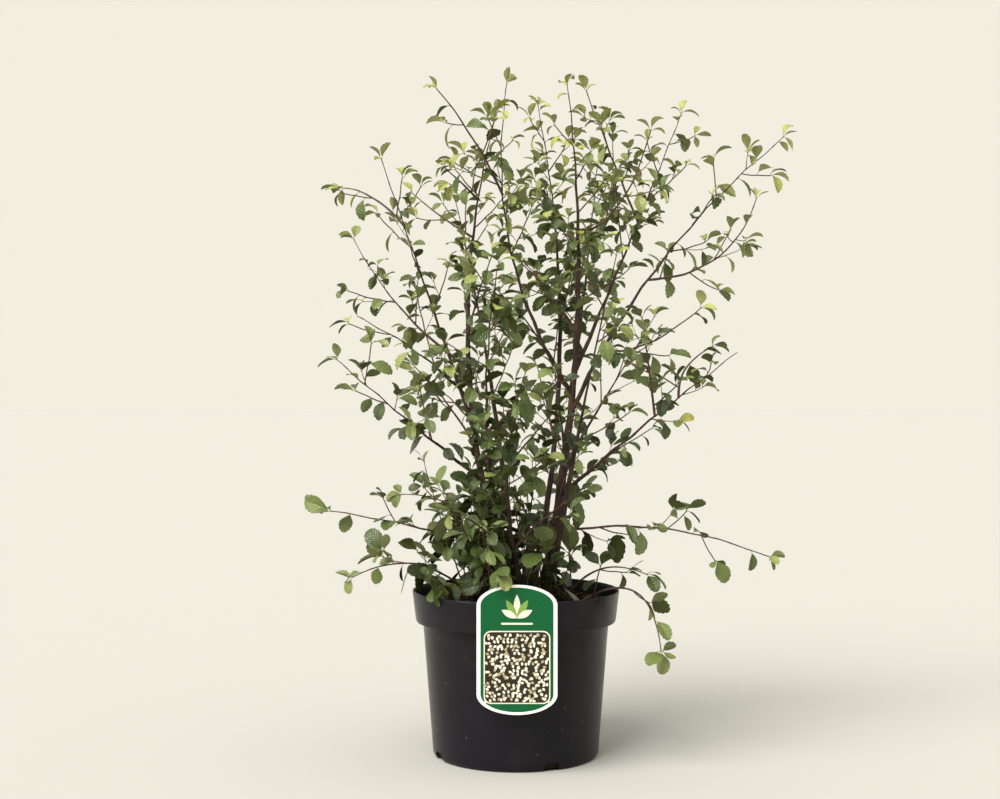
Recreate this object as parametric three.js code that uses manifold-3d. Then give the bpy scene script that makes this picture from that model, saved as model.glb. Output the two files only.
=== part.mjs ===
// A spirea shrub in its nursery pot: thin upright stems from one clump, arching boughs, small leaves
// on fine twigs, a round plastic pot filled with compost and a plant label hung over the pot's rim.
// Millimetres and degrees, +Z up, +X right and -Y front. The origin is the centre of the pot's flat underside.

import * as THREE from "three";
import { mergeVertices } from "three/addons/utils/BufferGeometryUtils.js";
import Module from "manifold-3d";

const wasm = await Module();
wasm.setup();

// ---------- Driving dimensions ----------

const GAP = 0.3; // kept between neighbouring pieces
const GRID = 0.001; // joined solids keep their corners on so fine a grid

const POT = {
  height: 222,
  rimDiameter: 280,
  collarHeight: 42,
  collarFootDiameter: 270,
  bodyTopDiameter: 251,
  bodyFootDiameter: 223,
  wall: 2.4,
  floor: 3,
  footBevel: 5,
  segments: 36,
};
const NOTCH = { count: 4, width: 23, height: 11, turn: 24 }; // drainage notches, the first this far right of front
const SOIL = { level: 206, bevel: 4 };
const LABEL = { width: 102, foot: 81, top: 245, roundRise: 26, thickness: 1.2, clipWidth: 18, clipReach: 12 };

const STEM = { sides: 6, steps: 6, tip: 1.8, taper: 0.85, flare: 0.45, flareHeight: 14, ease: 1.6 };
const BOUGH = { sides: 5, steps: 5, tip: 1.8 };
const SHOOT = { sides: 3, steps: 5, thick: 3.6, tip: 1.8 };
const TWIG = {
  sides: 3,
  steps: 1,
  thick: 2.2,
  share: 1.3, // a twig's thickness against its shoot's radius, where that is less
  tip: 1.5,
  spacing: 46, // between twigs along a shoot
  firstAt: 16,
  endAt: 44, // the bare end of a shoot past its last twig
  angle: 50, // between a twig and its shoot
  turn: 137.5, // from one twig to the next, round the shoot
  rise: 0.3, // how much a twig turns up along its length
  shorter: 0.6, // how much shorter the last twig of a shoot is than its first
  tries: 4,
  clearance: 1.2,
};
const LEAF = {
  length: 52,
  width: 39,
  thickness: 1.8,
  waist: 0.34, // where the blade is thickest, as a share of its length
  widest: 0.56,
  spacing: 37,
  firstAt: 14,
  angle: 62,
  droop: 0.42,
  roll: 50,
  tipScale: 0.72,
  sunk: 1.5, // how far the last leaf's root lies back in its twig
  tries: 4,
};
const WOOD_END = 0.95; // share of a shoot's or twig's curve where its wood ends in a leaf
const SEED = 4100;
const LEADER_REACH = 96; // the longest twig of a stem's or a bough's own mass
const SIDE_REACH = 62; // the longest twig of a side shoot

// Each limb is aimed along a heading (anticlockwise from +X, seen from above) at a lean from upright. Its middle
// is bent by shares of its length: down and outward, then to the left of its heading. It is so thick at its foot,
// and its own mass of foliage starts at the leafy share of its length.
const STEMS = {
  main: { foot: [32, 0], aim: [36, 4], length: 705, bend: [0.04, -0.02], thick: 13, leafy: 0.6 },
  back: { foot: [20, 30], aim: [84, 11], length: 715, bend: [0.02, -0.05], thick: 9.5, leafy: 0.52 },
  left: { foot: [-5, 18], aim: [108, 6], length: 680, bend: [0.02, 0.07], thick: 11, leafy: 0.6 },
  front_left: { foot: [0, -18], aim: [-98, 20], length: 470, bend: [-0.02, -0.06], thick: 8.5, leafy: 0.38 },
  front: { foot: [14, -32], aim: [-92, 25], length: 335, bend: [-0.02, -0.07], thick: 8, leafy: 0.34 },
  rear: { foot: [38, 44], aim: [66, 19], length: 685, bend: [0.02, 0], thick: 9.5, leafy: 0.5 },
  rear_left: { foot: [0, 46], aim: [114, 21], length: 625, bend: [0, -0.02], thick: 9, leafy: 0.45 },
  front_right: { foot: [44, -26], aim: [-70, 26], length: 495, bend: [-0.02, 0], thick: 8.5, leafy: 0.36 },
};
// A bough springs from its stem, at that share of the stem's length.
const BOUGHS = {
  high: { from: "main", at: 0.4, aim: [-140, 16], length: 425, bend: [0.11, -0.02], thick: 6.5, leafy: 0.45 },
  right_low: { from: "main", at: 0.2, aim: [-30, 53], length: 320, bend: [-0.01, 0], thick: 6, leafy: 0.5 },
  right_high: { from: "main", at: 0.44, aim: [30, 26], length: 415, bend: [0.01, 0.01], thick: 6.5, leafy: 0.4 },
  far_right: { from: "main", at: 0.36, aim: [-14, 38], length: 465, bend: [-0.06, -0.01], thick: 6.5, leafy: 0.42 },
  left_high: { from: "left", at: 0.34, aim: [-152, 21], length: 390, bend: [-0.03, -0.06], thick: 6.5, leafy: 0.4 },
  left_mid: { from: "left", at: 0.47, aim: [154, 45], length: 265, bend: [0.07, -0.02], thick: 5.5, leafy: 0.34 },
  left_low: { from: "left", at: 0.4, aim: [-132, 63], length: 240, bend: [-0.04, 0.01], thick: 5, leafy: 0.3 },
  left_foot: { from: "left", at: 0.24, aim: [-132, 59], length: 310, bend: [0.02, 0.03], thick: 6, leafy: 0.34 },
  rear_right: { from: "rear", at: 0.27, aim: [40, 40], length: 295, bend: [0, 0], thick: 5.5, leafy: 0.36 },
  rear_low: { from: "rear_left", at: 0.32, aim: [134, 56], length: 230, bend: [-0.04, -0.01], thick: 5, leafy: 0.3 },
};
// A shoot past its limb's leafy start belongs to that limb's mass. Any other shoot carries a mass of its own.
const SHOOTS = {
  top: { from: "right_high", at: 0.58, aim: [158, 22], length: 205, bend: [0.01, -0.03] },
  high_side: { from: "high", at: 0.67, aim: [-142, 40], length: 165, bend: [-0.02, 0.03] },
  left_high_side: { from: "left_high", at: 0.76, aim: [146, 61], length: 125, bend: [-0.1, 0.06] },
  left_rear_side: { from: "left", at: 0.74, aim: [134, 60], length: 150, bend: [0.01, 0.02] },
  left_front_side: { from: "left", at: 0.82, aim: [-126, 65], length: 85, bend: [-0.01, -0.01] },
  far_right_side: { from: "far_right", at: 0.45, aim: [34, 58], length: 235, bend: [0.13, -0.05] },
  far_right_low: { from: "far_right", at: 0.21, aim: [-54, 76], length: 195, bend: [0.1, -0.05] },
  main_side: { from: "main", at: 0.71, aim: [-56, 52], length: 195, bend: [0.17, -0.02] },
  right_low_side: { from: "right_low", at: 0.69, aim: [48, 49], length: 105, bend: [-0.07, 0.11] },
  right_low_up: { from: "right_low", at: 0.56, aim: [-118, 19], length: 135, bend: [0.04, 0.02] },
  inner_left: { from: "left", at: 0.3, aim: [200, 38], length: 150, bend: [-0.04, 0] },
  inner_rear: { from: "back", at: 0.3, aim: [100, 48], length: 170, bend: [-0.04, 0] },
  inner_right: { from: "rear", at: 0.2, aim: [-10, 52], length: 170, bend: [-0.04, 0] },
  inner_front: { from: "main", at: 0.27, aim: [-100, 40], length: 150, bend: [-0.04, 0] },
  inner_high: { from: "back", at: 0.45, aim: [200, 40], length: 150, bend: [-0.04, 0] },
  inner_mid: { from: "main", at: 0.52, aim: [150, 42], length: 150, bend: [-0.04, 0] },
  inner_left_mid: { from: "left", at: 0.54, aim: [-70, 45], length: 140, bend: [-0.04, 0] },
  inner_rear_left: { from: "rear_left", at: 0.28, aim: [30, 45], length: 150, bend: [-0.04, 0] },
  inner_low: { from: "front", at: 0.24, aim: [-20, 50], length: 120, bend: [-0.04, 0] },
  low_right: { from: "main", at: 0.13, aim: [-14, 95], length: 290, bend: [-0.08, -0.03] },
  low_left: { from: "left", at: 0.1, aim: [200, 76], length: 240, bend: [-0.02, 0.06] },
  low_rear: { from: "rear", at: 0.12, aim: [80, 72], length: 230, bend: [-0.08, 0] },
  low_rear_left: { from: "rear_left", at: 0.12, aim: [140, 74], length: 220, bend: [-0.08, 0] },
  low_front: { from: "front_left", at: 0.14, aim: [-120, 64], length: 150, bend: [-0.08, 0] },
};
// Low shoots that rise from the compost and arch out over the rim.
const RIM_SHOOTS = {
  rim_left: { foot: [-55, -20], aim: [-144, 76], length: 195, bend: [-0.17, -0.01] },
  rim_right: { foot: [65, 0], aim: [-24, 71], length: 125, bend: [-0.2, 0.03] },
  rim_hanging: { foot: [80, -40], aim: [-26, 114], length: 130, bend: [-0.4, 0.04] },
  rim_front: { foot: [-16, -62], aim: [-96, 52], length: 90, bend: [-0.14, 0] },
  rim_rear: { foot: [24, 78], aim: [88, 78], length: 150, bend: [-0.2, 0] },
};

const COLOURS = {
  pot: 0x313035,
  compost: 0x2b221b,
  label: 0x0a6e41,
  bark: 0x4a382c,
  leaves: [0x4c6a33, 0x587a3a, 0x3f5c30, 0x66873f],
};

// ---------- Small helpers ----------

const UP = new THREE.Vector3(0, 0, 1);
const radians = THREE.MathUtils.degToRad;

// The same numbers on every run: a linear congruential sequence, between 0 and 1.
function sequence(seed) {
  let state = seed;
  return () => {
    state = (state * 1664525 + 1013904223) % 4294967296;
    return state / 4294967296;
  };
}

function direction(heading, lean) {
  const flat = Math.sin(radians(lean));
  return new THREE.Vector3(
    flat * Math.cos(radians(heading)),
    flat * Math.sin(radians(heading)),
    Math.cos(radians(lean)),
  );
}

// ---------- Solids ----------

function solidOf(geometry) {
  const bare = new THREE.BufferGeometry();
  bare.setAttribute("position", geometry.getAttribute("position"));
  bare.setIndex(geometry.getIndex());
  const merged = mergeVertices(bare, 1e-4);
  return new wasm.Manifold(
    new wasm.Mesh({
      numProp: 3,
      vertProperties: merged.getAttribute("position").array,
      triVerts: new Uint32Array(merged.getIndex().array),
    }),
  );
}

function facesOf(points, triangles) {
  const geometry = new THREE.BufferGeometry().setFromPoints(points);
  geometry.setIndex(triangles);
  return geometry;
}

// Only the largest body of a solid, so loose scraps and sealed hollows go.
function largestBody(solid) {
  return solid.decompose().reduce((best, body) => (body.volume() > best.volume() ? body : best));
}

// A joined solid once more, with its corners set on a fine grid so that the closest ones merge.
function tidied(solid) {
  const geometry = geometryOf(largestBody(solid));
  const { array } = geometry.getAttribute("position");
  for (let i = 0; i < array.length; i++) array[i] = GRID * Math.round(array[i] / GRID);
  return largestBody(solidOf(geometry));
}

function geometryOf(solid) {
  const { vertProperties, triVerts } = solid.getMesh();
  const geometry = new THREE.BufferGeometry();
  geometry.setAttribute("position", new THREE.BufferAttribute(vertProperties, 3));
  geometry.setIndex(new THREE.BufferAttribute(triVerts, 1));
  geometry.computeVertexNormals();
  return geometry;
}

function boundsOf(solid) {
  const { min, max } = solid.boundingBox();
  return new THREE.Box3(new THREE.Vector3(...min), new THREE.Vector3(...max));
}

// ---------- Limbs ----------

function limbCurve(start, { aim: [heading, lean], length, bend: [bow, sweep] }) {
  const along = direction(heading, lean);
  const outward = direction(heading, lean + 90);
  const sideways = direction(heading + 90, 90);
  const middle = start
    .clone()
    .addScaledVector(along, length / 2)
    .addScaledVector(outward, 2 * bow * length)
    .addScaledVector(sideways, 2 * sweep * length);
  const tip = start.clone().addScaledVector(along, length);
  return new THREE.QuadraticBezierCurve3(start, middle, tip);
}

// A closed tapering tube along part of a curve, in rings that keep the curve's own plane. It can be thicker by an
// extra. An ease above 1 sets the rings closer at its foot, and a level foot stands flat on the compost.
function tubeAlong(limb, from, to, sides, steps, { extra = 0, ease = 1, level = false } = {}) {
  const { curve, radiusAt } = limb;
  const chord = curve.v2.clone().sub(curve.v0);
  const across = curve.v1.clone().sub(curve.v0).cross(chord);
  if (across.length() < 1e-3 * chord.lengthSq()) across.crossVectors(chord, new THREE.Vector3(1, 0.3, 0));
  across.normalize();
  const points = [];
  const triangles = [];
  for (let step = 0; step <= steps; step++) {
    const t = from + (to - from) * (step / steps) ** ease;
    const centre = curve.getPoint(t);
    const tangent = curve.getTangent(t);
    const up = new THREE.Vector3().crossVectors(tangent, across);
    const radius = radiusAt(t) + extra;
    for (let side = 0; side < sides; side++) {
      const angle = (2 * Math.PI * side) / sides;
      const point = centre.clone();
      point.addScaledVector(across, radius * Math.cos(angle));
      point.addScaledVector(up, radius * Math.sin(angle));
      if (level && step === 0) point.addScaledVector(tangent, (centre.z - point.z) / tangent.z);
      points.push(point);
      const next = (side + 1) % sides;
      const here = step * sides;
      if (step < steps) triangles.push(here + side, here + sides + next, here + sides + side);
      if (step < steps) triangles.push(here + side, here + next, here + sides + next);
    }
  }
  for (let side = 1; side < sides - 1; side++) {
    triangles.push(0, side + 1, side);
    triangles.push(steps * sides, steps * sides + side, steps * sides + side + 1);
  }
  return solidOf(facesOf(points, triangles));
}

function taper(thick, tip, power = 1) {
  return (t) => (tip + (thick - tip) * (1 - t) ** power) / 2;
}

// A stem widens into its root flare just above the compost.
function stemRadius({ thick, length }) {
  const plain = taper(thick, STEM.tip, STEM.taper);
  return (t) => plain(t) * (1 + STEM.flare * Math.exp((-t * length) / STEM.flareHeight));
}

const limbs = new Map();

function addLimb(kind, name, row, start, radiusAt) {
  const from = limbs.get(row.from);
  limbs.set(name, { leafy: 0, ...row, name, kind, from, curve: limbCurve(start, row), radiusAt });
}

const overCompost = ([x, y]) => new THREE.Vector3(x, y, SOIL.level + GAP);
const onLimb = ({ from, at }) => limbs.get(from).curve.getPoint(at);
const shootRadius = taper(SHOOT.thick, SHOOT.tip);

for (const [name, row] of Object.entries(STEMS)) {
  addLimb("stem", name, row, overCompost(row.foot), stemRadius(row));
}
for (const [name, row] of Object.entries(BOUGHS)) {
  addLimb("bough", name, row, onLimb(row), taper(row.thick, BOUGH.tip));
}
for (const [name, row] of Object.entries(SHOOTS)) addLimb("shoot", name, row, onLimb(row), shootRadius);
for (const [name, row] of Object.entries(RIM_SHOOTS)) {
  addLimb("rim", name, row, overCompost(row.foot), shootRadius);
}

const limbSpan = (limb) => limb.curve.v0.distanceTo(limb.curve.v2);

// The bare stretch of a stem or bough, thicker by an extra where its neighbours are cut clear of it.
function bareTube(limb, extra = 0) {
  if (limb.kind === "bough") return tubeAlong(limb, 0, limb.leafy, BOUGH.sides, BOUGH.steps, { extra });
  return tubeAlong(limb, 0, limb.leafy, STEM.sides, STEM.steps, { extra, ease: STEM.ease, level: true });
}

// A limb that springs from another starts just clear of its side.
function cutFoot(limb, tube) {
  return limb.from ? largestBody(tube.subtract(bareTube(limb.from, 1.2 * GAP))) : tube;
}

// ---------- Twigs and leaves ----------

// Distances between limbs and twigs are taken along straight stretches of their curves.
function stretchesOf({ curve, radiusAt }, from, to, count) {
  const stretches = [];
  for (let i = 0; i < count; i++) {
    const t0 = from + ((to - from) * i) / count;
    const t1 = from + ((to - from) * (i + 1)) / count;
    stretches.push({ a: curve.getPoint(t0), b: curve.getPoint(t1), radius: radiusAt(t0) });
  }
  return stretches;
}

function distanceBetween(p, q) {
  const d1 = p.b.clone().sub(p.a);
  const d2 = q.b.clone().sub(q.a);
  const r = p.a.clone().sub(q.a);
  const a = d1.dot(d1);
  const e = d2.dot(d2);
  const b = d1.dot(d2);
  const c = d1.dot(r);
  const f = d2.dot(r);
  const spread = a * e - b * b;
  let s = spread > 1e-9 ? THREE.MathUtils.clamp((b * f - c * e) / spread, 0, 1) : 0;
  const t = THREE.MathUtils.clamp((b * s + f) / e, 0, 1);
  s = THREE.MathUtils.clamp((b * t - c) / a, 0, 1);
  return p.a.clone().addScaledVector(d1, s).distanceTo(q.a.clone().addScaledVector(d2, t));
}

function isClear(stretches, taken, host) {
  return stretches.every((mine) =>
    taken.every((other) => {
      if (other.host === host) return true;
      return distanceBetween(mine, other) > mine.radius + other.radius + TWIG.clearance;
    }),
  );
}

// True where a point lies in or just over the pot.
function nearPot(point) {
  const outside = Math.hypot(point.x, point.y) > POT.rimDiameter / 2 + 8;
  return !outside && point.z < POT.height + 6;
}

// Two directions square to a tangent, the first as level as it can be.
function crossAxes(tangent) {
  const level = new THREE.Vector3().crossVectors(tangent, UP);
  if (level.length() < 0.05) level.set(1, 0, 0);
  level.normalize();
  return [level, new THREE.Vector3().crossVectors(level, tangent)];
}

function sideways(tangent, angle, turn) {
  const [level, up] = crossAxes(tangent);
  return tangent
    .clone()
    .multiplyScalar(Math.cos(radians(angle)))
    .addScaledVector(level, Math.sin(radians(angle)) * Math.cos(radians(turn)))
    .addScaledVector(up, Math.sin(radians(angle)) * Math.sin(radians(turn)));
}

function twigCurve(start, aim, length) {
  const middle = start.clone().addScaledVector(aim, length / 2);
  const end = aim.clone().addScaledVector(UP, TWIG.rise).normalize();
  return new THREE.QuadraticBezierCurve3(start, middle, middle.clone().addScaledVector(end, length / 2));
}

// The side twigs of a shoot: one every TWIG.spacing, each turned on from the last, shorter towards the tip.
function growTwigs(shoot, reach, taken, next) {
  const span = limbSpan(shoot) * (1 - shoot.leafy);
  const phase = 360 * next();
  const twigs = [];
  let number = 0;
  for (let along = TWIG.firstAt; along < span - TWIG.endAt; along += TWIG.spacing) {
    const share = along / span;
    const t = shoot.leafy + (1 - shoot.leafy) * share;
    const start = shoot.curve.getPoint(t);
    const angle = TWIG.angle + 20 * (next() - 0.5);
    const length = reach * (1 - TWIG.shorter * share) * (0.7 + 0.5 * next());
    const radiusAt = taper(Math.min(TWIG.thick, TWIG.share * shoot.radiusAt(t)), TWIG.tip);
    number++;
    for (let attempt = 0; attempt < TWIG.tries; attempt++) {
      const turn = phase + TWIG.turn * number + 95 * attempt;
      const curve = twigCurve(start, sideways(shoot.curve.getTangent(t), angle, turn), length);
      const twig = { kind: "twig", curve, radiusAt, leafy: 0 };
      const stretches = stretchesOf(twig, 0, 1, TWIG.steps);
      if (stretches.some(({ b }) => nearPot(b)) || !isClear(stretches, taken, shoot)) continue;
      for (const stretch of stretches) taken.push({ ...stretch, host: twig });
      twigs.push(twig);
      break;
    }
  }
  return twigs;
}

// A pointed blade of 6 faces, broadest past its middle, with a flat underside and a raised midrib.
function leafSolid(root, axis, roll, size) {
  const [level, up] = crossAxes(axis);
  const across = level.clone().multiplyScalar(Math.cos(radians(roll)));
  across.addScaledVector(up, Math.sin(radians(roll)));
  const face = new THREE.Vector3().crossVectors(across, axis);
  const at = (along, side, out) =>
    root.clone().addScaledVector(axis, along).addScaledVector(across, side).addScaledVector(face, out);
  const length = LEAF.length * size;
  const half = (LEAF.width * size) / 2;
  const points = [
    root,
    at(LEAF.widest * length, half, 0),
    at(length, 0, 0),
    at(LEAF.widest * length, -half, 0),
    at(LEAF.waist * length, 0, LEAF.thickness),
  ];
  return solidOf(facesOf(points, [0, 1, 4, 1, 2, 4, 2, 3, 4, 3, 0, 4, 1, 0, 3, 1, 3, 2]));
}

const placed = []; // every piece so far: its solid, its box, and what it is

function place(solid, owner) {
  placed.push({ solid, owner, box: boundsOf(solid).expandByScalar(GAP) });
}

function isFree(solid, owner) {
  const box = boundsOf(solid);
  return placed.every((other) => {
    if (other.owner === owner || !other.box.intersectsBox(box)) return true;
    return other.solid.minGap(solid, 2 * GAP) > GAP;
  });
}

// Leaves along a twig or shoot, each turned on from the last. The last one ends it.
function growLeaves(twig, next) {
  const leaves = [];
  const span = limbSpan(twig) * (1 - twig.leafy);
  const count = Math.max(1, Math.floor((span - LEAF.firstAt) / LEAF.spacing) + 1);
  const phase = 360 * next();
  for (let number = 1; number <= count; number++) {
    const share = number / count;
    const t = Math.min(WOOD_END - LEAF.sunk / limbSpan(twig), twig.leafy + (1 - twig.leafy) * share);
    const last = number === count;
    const tangent = twig.curve.getTangent(t);
    const size = (1 - (1 - LEAF.tipScale) * share) * (0.9 + 0.2 * next());
    const roll = LEAF.roll * 2 * (next() - 0.5);
    for (let attempt = 0; attempt < LEAF.tries; attempt++) {
      const turn = phase + TWIG.turn * number + 95 * attempt;
      const axis = sideways(tangent, last ? 12 : LEAF.angle, turn);
      axis.addScaledVector(UP, last ? 0 : -LEAF.droop).normalize();
      const leaf = leafSolid(twig.curve.getPoint(t), axis, roll, size);
      if (!isFree(leaf, twig)) continue;
      place(leaf, twig);
      leaves.push(leaf);
      break;
    }
  }
  return leaves;
}

// ---------- Pot, compost and label ----------

function lathe(profile) {
  const points = profile.map(([radius, height]) => new THREE.Vector2(radius, height));
  const geometry = new THREE.LatheGeometry(points, POT.segments);
  geometry.rotateX(Math.PI / 2);
  return solidOf(geometry);
}

// The pot's outer and inner radius at a height, body and collar apart.
const bodyRadius = (z) =>
  THREE.MathUtils.lerp(POT.bodyFootDiameter, POT.bodyTopDiameter, z / (POT.height - POT.collarHeight)) / 2;
const collarRadius = (z) =>
  THREE.MathUtils.lerp(POT.rimDiameter, POT.collarFootDiameter, (POT.height - z) / POT.collarHeight) / 2;

function potSolid() {
  const { height, wall, floor, footBevel } = POT;
  const step = height - POT.collarHeight;
  let pot = lathe([
    [0, 0],
    [bodyRadius(0) - footBevel, 0],
    [bodyRadius(0) - 1, footBevel / 2],
    [bodyRadius(footBevel), footBevel],
    [bodyRadius(step), step],
    [collarRadius(step), step],
    [collarRadius(height) - 1, height - 2],
    [collarRadius(height) - 1, height],
    [collarRadius(height) - wall, height],
    [collarRadius(step + wall) - wall, step + wall],
    [bodyRadius(step + wall) - wall, step + wall],
    [bodyRadius(floor) - wall, floor],
    [0, floor],
  ]);
  for (let i = 0; i < NOTCH.count; i++) {
    const notch = new THREE.BoxGeometry(NOTCH.width, 4 * footBevel, 2 * NOTCH.height);
    notch.translate(0, -bodyRadius(0), 0);
    notch.rotateZ(radians(NOTCH.turn + (360 * i) / NOTCH.count));
    pot = pot.subtract(solidOf(notch));
  }
  return pot;
}

function compostSolid() {
  const { wall, floor, height } = POT;
  const step = height - POT.collarHeight + wall + GAP;
  const inset = wall + 2 * GAP;
  const foot = floor + GAP;
  const shoulder = SOIL.level - SOIL.bevel;
  return lathe([
    [0, foot],
    [bodyRadius(foot) - inset, foot],
    [bodyRadius(step) - inset, step],
    [collarRadius(step) - inset, step],
    [collarRadius(shoulder) - inset, shoulder],
    [collarRadius(shoulder) - inset - SOIL.bevel, SOIL.level],
    [0, SOIL.level],
  ]);
}

// A flat label with a rounded top and foot, in front of the rim, and the clip that carries it.
function labelSolid() {
  const { width, foot, top, roundRise, thickness, clipWidth, clipReach } = LABEL;
  const outline = new THREE.Shape();
  outline.absellipse(0, top - roundRise, width / 2, roundRise, 0, Math.PI);
  outline.absellipse(0, foot + roundRise, width / 2, roundRise, Math.PI, 2 * Math.PI);
  const plate = new THREE.ExtrudeGeometry(outline, { depth: thickness, bevelEnabled: false, curveSegments: 10 });
  const front = -POT.rimDiameter / 2 - GAP;
  plate.rotateX(Math.PI / 2);
  plate.translate(0, front, 0);

  const over = POT.height + GAP;
  const inside = 4 * GAP - (collarRadius(over - clipReach) - POT.wall);
  const hook = new THREE.Shape();
  hook.moveTo(front - thickness / 2, over);
  hook.lineTo(inside, over);
  hook.lineTo(inside, over - clipReach);
  hook.lineTo(inside + thickness, over - clipReach);
  hook.lineTo(inside + thickness, over + thickness);
  hook.lineTo(front - thickness / 2, over + thickness);
  const clip = new THREE.ExtrudeGeometry(hook, { depth: clipWidth, bevelEnabled: false });
  clip.applyMatrix4(new THREE.Matrix4().set(0, 0, 1, -clipWidth / 2, 1, 0, 0, 0, 0, 1, 0, 0, 0, 0, 0, 1));
  return solidOf(plate).add(solidOf(clip));
}

// ---------- The plant, put together ----------

const shrub = new THREE.Group();
shrub.name = "spirea_in_pot";

function addPiece(name, solid, colour, roughness) {
  const material = new THREE.MeshStandardMaterial({ color: colour, roughness, metalness: 0 });
  material.name = name;
  const mesh = new THREE.Mesh(geometryOf(solid), material);
  mesh.name = name;
  shrub.add(mesh);
}

const pot = potSolid();
const compost = compostSolid();
const label = labelSolid();
place(pot, "pot");
place(compost, "compost");
place(label, "label");
addPiece("pot", pot, COLOURS.pot, 0.45);
addPiece("compost", compost, COLOURS.compost, 1);
addPiece("label", label, COLOURS.label, 0.35);

const taken = [];
for (const limb of limbs.values()) {
  for (const stretch of stretchesOf(limb, 0, 1, 8)) taken.push({ ...stretch, host: limb });
  if (limb.kind !== "stem" && limb.kind !== "bough") continue;
  const solid = cutFoot(limb, bareTube(limb));
  place(solid, limb);
  addPiece(`${limb.kind}_${limb.name}`, solid, COLOURS.bark, 0.85);
}

// One mass for each limb's leafy end, with the shoots that spring from it, and one for each other shoot.
const masses = new Map();
for (const limb of limbs.values()) {
  const joins = limb.kind === "shoot" && limb.at > limb.from.leafy;
  if (joins) masses.get(limb.from.name).push(limb);
  else masses.set(limb.name, [limb]);
}

// A mass's first shoot starts just past its limb's cut end, or clear of the limb that it springs from.
function shootSolid(shoot, fused) {
  const { sides, steps } = SHOOT;
  const pastEnd = shoot.leafy + GAP / limbSpan(shoot);
  if (shoot.leafy) return tubeAlong(shoot, pastEnd, WOOD_END, sides, steps);
  const whole = tubeAlong(shoot, 0, WOOD_END, sides, steps, { level: !shoot.from });
  return fused ? whole : cutFoot(shoot, whole);
}

for (const shoots of masses.values()) {
  for (const shoot of shoots) {
    shoot.solid = shootSolid(shoot, shoot !== shoots[0]);
    place(shoot.solid, shoot);
  }
}

// Every mass's twigs are grown and placed before the first leaf, so that leaves fill only what is left.
[...masses.values()].forEach((shoots, number) => {
  const next = sequence(SEED + number);
  for (const shoot of shoots) {
    shoot.twigs = growTwigs(shoot, shoot.leafy ? LEADER_REACH : SIDE_REACH, taken, next);
    for (const twig of shoot.twigs) {
      twig.solid = tubeAlong(twig, 0, WOOD_END, TWIG.sides, TWIG.steps);
      place(twig.solid, twig);
    }
  }
});

[...masses].forEach(([name, shoots], number) => {
  const next = sequence(2 * SEED + number);
  const wood = shoots.flatMap((shoot) => [shoot, ...shoot.twigs]);
  const pieces = wood.flatMap((twig) => [twig.solid, ...growLeaves(twig, next)]);
  const mass = tidied(pieces.reduce((joined, piece) => joined.add(piece)));
  addPiece(`foliage_${name}`, mass, COLOURS.leaves[number % COLOURS.leaves.length], 0.7);
});

export default shrub;
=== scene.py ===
"""A spirea shrub in its nursery pot: bark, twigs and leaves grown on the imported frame, a moulded pot with
compost and a plant label, on a pale floor in soft studio light. Lengths are in millimetres until a mesh is
made, and angles are in degrees."""

import math
from collections import namedtuple

import bpy
import numpy as np
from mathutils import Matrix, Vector


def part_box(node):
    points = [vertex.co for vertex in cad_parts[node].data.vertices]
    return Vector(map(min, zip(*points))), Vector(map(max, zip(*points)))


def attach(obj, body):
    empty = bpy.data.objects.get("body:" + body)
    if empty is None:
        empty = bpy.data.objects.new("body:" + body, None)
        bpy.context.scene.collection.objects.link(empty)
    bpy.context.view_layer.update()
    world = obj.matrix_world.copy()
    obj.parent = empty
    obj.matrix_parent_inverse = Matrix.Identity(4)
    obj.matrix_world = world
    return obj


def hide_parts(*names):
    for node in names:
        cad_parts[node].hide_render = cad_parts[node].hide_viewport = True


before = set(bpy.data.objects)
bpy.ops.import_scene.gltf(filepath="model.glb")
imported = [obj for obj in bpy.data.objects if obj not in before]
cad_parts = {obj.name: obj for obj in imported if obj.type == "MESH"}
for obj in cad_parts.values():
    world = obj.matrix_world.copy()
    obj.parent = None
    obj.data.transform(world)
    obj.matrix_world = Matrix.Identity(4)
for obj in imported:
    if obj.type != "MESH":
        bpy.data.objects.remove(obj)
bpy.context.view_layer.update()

MM = 0.001
BODY = "root"
UP = np.array([0.0, 0.0, 1.0])


def placed(name, data):
    """An object with that data, in the scene."""
    made = bpy.data.objects.new(name, data)
    bpy.context.scene.collection.objects.link(made)
    return made


# ---------- Camera ----------

CAMERA_AT = (-0.0214, -2.0, 0.4786)
CAMERA_LENS = 53.1
SENSOR_WIDTH = 36.0


def add_camera():
    lens = bpy.data.cameras.new("camera")
    lens.lens = CAMERA_LENS
    lens.sensor_width = SENSOR_WIDTH
    camera = placed("camera", lens)
    camera.location = CAMERA_AT
    camera.rotation_euler = (math.radians(90), 0, 0)
    bpy.context.scene.camera = camera


add_camera()

# ---------- Driving dimensions ----------

POT_HEIGHT = 222.0
POT_RIM = 280.0
COLLAR_HEIGHT = 42.0
COLLAR_FOOT = 270.0
BODY_TOP = 251.0
BODY_FOOT = 223.0
POT_WALL = 2.4
POT_FLOOR = 3.0
FOOT_BEVEL = 5.0
NOTCH_COUNT, NOTCH_WIDTH, NOTCH_HEIGHT, NOTCH_TURN = 4, 23.0, 11.0, 24.0
SOIL_LEVEL = 206.0
SUNK = 8.0
JOINT = 0.3

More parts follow.
